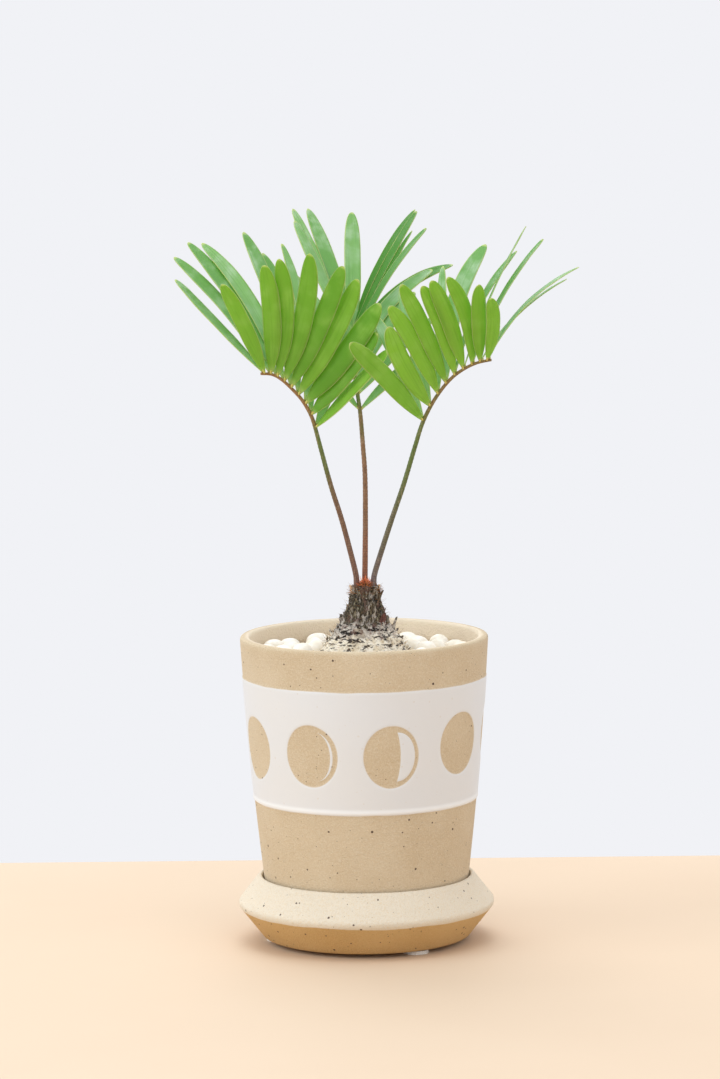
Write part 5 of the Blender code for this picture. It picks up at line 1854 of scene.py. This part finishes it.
@dataclass
class PottedZamia:
    """The whole object: every sub-assembly and the finishes that they share."""

    fronds: list[Frond] = field(default_factory=list)

    def dress_nodes(self) -> None:
        """Give the CAD nodes that stay their finishes."""
        felt = ScatteredFinish("pad_felt_fluff", screen(240, 238, 232), screen(214, 210, 200),
                               0.5 * MM, 0.15 * MM).build()
        soil = ScatteredFinish("soil_crumbs", screen(58, 42, 32), screen(104, 82, 62),
                               1.8 * MM, 1.2 * MM).build()
        for name, finish in (("saucer_pad_1", felt), ("saucer_pad_2", felt),
                             ("saucer_pad_3", felt), ("soil", soil)):
            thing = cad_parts[name]
            thing.data.materials.clear()
            thing.data.materials.append(finish)

    def leaf_faces(self) -> dict[LeafFace, bpy.types.Material]:
        """Finishes of the leaflets' faces."""
        # The third colour of each finish is its pale mottle, which also paints a sheen towards the
        # leaflets' tips
        finishes = (
            LeafFinish(LeafFace.UPPER, screen(154, 202, 128), screen(104, 166, 80),
                       screen(218, 238, 212), screen(146, 206, 78), 0.32, 0.30),
            LeafFinish(LeafFace.UNDER, screen(182, 226, 84), screen(112, 168, 50),
                       screen(200, 228, 124), screen(186, 232, 66), 0.55, 0.40),
            LeafFinish(LeafFace.MARGIN, screen(226, 236, 172), screen(206, 222, 140),
                       screen(236, 242, 196), screen(224, 236, 150), 0.45, 0.5),
        )
        return {finish.face: finish.build() for finish in finishes}

    def build(self) -> None:
        """Make every piece in order, from the ground up."""
        self.dress_nodes()
        scatter, pebble_tree, stalk_tree = ScatterTree(), PebbleTree(), StalkTree()
        # The saucer's cream upper part is partly slip, partly painted light from above
        Saucer().build(StonewareFinish(
            "saucer_stoneware", clay=screen(208, 172, 116), clay_deep=screen(194, 154, 94),
            clay_pale=screen(218, 188, 138), slip_and_painted_light_from=16.5 * MM).build())
        # The pot's inner wall above the soil gets painted light
        Pot().build(
            StonewareFinish("pot_stoneware", band=MoonBand(), painted_light_inside=True).build())
        grit = PebbleFinish("grit_stone", screen(222, 206, 178), screen(190, 168, 136)).build()
        Pebbles().build(PebbleFinish("pebble_stone").build(), grit, pebble_tree, scatter)
        wool = ScatteredFinish("wool_hair", screen(242, 104, 52), screen(255, 178, 128),
                               0.8 * MM, 0.05 * MM).build()
        fibre = ScatteredFinish("dark_fibre", screen(60, 34, 24), screen(196, 132, 66),
                                1.1 * MM, 0.05 * MM).build()
        kinds = {
            FlakeKind.BARK: BarkFinish().build(),
            FlakeKind.RUST: ScatteredFinish("rust_scale", screen(124, 80, 70), screen(66, 40, 34),
                                            0.9 * MM, 0.4 * MM).build(),
            FlakeKind.HUSK: ScatteredFinish("pale_husk", screen(226, 196, 160),
                                            screen(184, 146, 112), 1.4 * MM, 0.3 * MM).build()}
        Trunk().build(kinds, wool, fibre, scatter)
        skins = {
            "left": StalkFinish("left_stalk_skin", screen(118, 84, 70), screen(118, 86, 62),
                                screen(148, 108, 60)),
            "middle": StalkFinish("middle_stalk_skin", screen(146, 84, 56), screen(136, 98, 66),
                                  screen(110, 120, 58), green_from=0.46),
            "right": StalkFinish("right_stalk_skin", screen(108, 92, 90), screen(100, 96, 68),
                                 screen(134, 108, 60), green_from=0.26)}
        faces = self.leaf_faces()
        foot = ScatteredFinish("leaflet_foot", screen(196, 176, 84), screen(206, 202, 112),
                               1.0 * MM, 0.05 * MM, 0.5).build()
        leaflet_tree = LeafletTree(Frond.outline)
        for frond in self.fronds:
            frond.build(skins[frond.side].build(), faces, foot, stalk_tree, leaflet_tree,
                        pebble_tree)


LEFT_FROND = Frond(
    side="left",
    route=(
        (-3.4, -1.2, 177.0), (-3.8, -1.5, 181.0), (-5.6, -2.3, 189.0), (-10.0, -4.2, 206.6),
        (-15.3, -6.4, 224.4), (-19.8, -8.3, 242.0), (-22.8, -9.6, 254.0), (-24.8, -10.4, 259.8),
        (-28.8, -12.1, 266.9), (-34.0, -14.3, 272.9), (-38.5, -16.2, 277.2),
        (-43.0, -18.0, 279.8), (-48.2, -20.2, 280.4)),
    pairs=(0.68, 0.985),
    near=LeafletRow(
        lean=(42, 38, 36, 27, 23, 12, 2, -2, -23), length=(59, 59, 70, 73, 74, 73, 66, 61, 55),
        width=(9, 10, 10.8, 9.8, 9.5, 9.6, 8.8, 9.2, 8.2),
        turn=(-62, -28, -16, -16, -14, -14, -14, -14, -20),
        sway=(-0.03, -0.03, -0.04, -0.04, -0.03, -0.05, -0.05, -0.03, 0.0),
        # Tone range held to the deep end: painted shade on these leaflets
        reach=(27, 27), bow=(0.03, 0.02), underside_shows=True, tone_range_and_painted_light=(0.4, 1.0)),
    far=LeafletRow(
        lean=(18, -6, -8, -14, -17, -31, -34, -40, -44),
        length=(52, 63, 81, 73, 81, 80, 80, 75, 64),
        width=(7, 7, 8, 8, 8, 8, 8, 7.5, 7), turn=(30, 34, 58, 34, 30, 32, 38, 52, 64),
        sway=(-0.05, -0.02, -0.04, -0.03, -0.02, -0.03, 0.0, 0.0, 0.05),
        reach=(-21, -15), bow=(0.04, 0.05)))

MIDDLE_FROND = Frond(
    side="middle",
    route=(
        (0.7, 3.0, 177.0), (0.8, 3.2, 181.0), (1.0, 4.0, 190.0), (1.3, 5.0, 208.5),
        (1.3, 6.3, 227.9), (0.4, 7.6, 243.0), (-0.7, 9.0, 258.0), (-1.9, 11.0, 267.0),
        (-3.2, 14.5, 276.5), (-3.9, 19.5, 285.0), (-3.9, 26.5, 292.5), (-3.8, 35.0, 298.0)),
    pairs=(0.655, 0.985),
    near=LeafletRow(
        lean=(-39, -44, -42, -40, -38, -25, -25, -20, 0),
        length=(48, 51, 53, 54, 54, 71, 75, 71, 64),
        width=(7, 7.5, 8, 8, 8, 7.5, 7.5, 8, 8.5), turn=(56, 44, 36, 32, 28, 52, 42, 34, 14),
        sway=(0.05, 0.05, 0.05, 0.04, 0.04, 0.03, 0.03, 0.01, 0.0),
        reach=(-4, -30), bow=(0.05, 0.04)),
    far=LeafletRow(
        lean=(50, 46, 35, 40, 49, 33, 30, 29, 29), length=(51, 53, 52, 62, 68, 71, 64, 73, 73),
        width=(7, 8, 8, 8, 7.5, 5.2, 4.6, 5.4, 5.2),
        turn=(-56, -46, -38, -38, -44, -62, -70, -60, -64),
        sway=(-0.05, -0.04, -0.03, 0.03, 0.06, -0.01, -0.04, -0.03, 0.0),
        reach=(-4, -28), bow=(0.08, 0.06),
        darker_green=(0.1, 0.2, 0.2, 0.2, 0.7, 0.6, 1.0, 0.8, 1.0)))

RIGHT_FROND = Frond(
    side="right",
    route=(
        (5.0, -1.8, 177.0), (5.6, -2.2, 181.0), (8.0, -3.7, 189.0), (13.8, -6.7, 207.0),
        (19.9, -9.7, 224.9), (25.3, -12.4, 242.8), (29.0, -14.2, 254.5), (33.2, -16.3, 263.5),
        (38.0, -18.6, 271.1), (43.5, -21.3, 277.6), (49.5, -24.3, 282.2), (55.6, -27.2, 285.2),
        (62.1, -30.4, 286.8)),
    pairs=(0.655, 0.985),
    near=LeafletRow(
        lean=(-40, -26, -27, -23, -19, -19, -15, -2, 2),
        length=(71, 61, 68, 74, 65, 65, 63, 54, 44), width=(9, 9, 8.5, 8, 8, 8, 7.5, 7.5, 7),
        turn=(20, 16, 16, 16, 16, 16, 18, 18, 20),
        sway=(0.01, 0.05, -0.01, 0.0, -0.02, -0.01, -0.05, 0.0, -0.05),
        # Tone range held to the light end: painted light on these leaflets
        reach=(40, 43), bow=(0.03, 0.02), underside_shows=True, tone_range_and_painted_light=(0.0, 0.45)),
    far=LeafletRow(
        lean=(-25, -13, 3, 17, 28, 25, 31, 48, 46), length=(59, 63, 64, 72, 69, 77, 71, 59, 64),
        width=(7.5, 8, 7, 9.5, 5.6, 4.2, 4.8, 4.0, 4.8),
        turn=(-32, -30, -48, -30, -70, -80, -74, -80, -76),
        sway=(0.02, 0.03, -0.01, 0.05, 0.02, -0.02, 0.0, 0.01, 0.03),
        reach=(-22, -14), bow=(0.05, 0.06),
        darker_green=(0.0, 0.1, 0.0, 0.0, 0.3, 0.2, 0.4, 0.1, 0.1)))


def main() -> None:
    """Build the plant, its pot and the studio."""
    logging.basicConfig(level=logging.INFO, format="%(message)s")
    Studio().build()
    PottedZamia([LEFT_FROND, MIDDLE_FROND, RIGHT_FROND]).build()


if __name__ == "__main__":
    main()
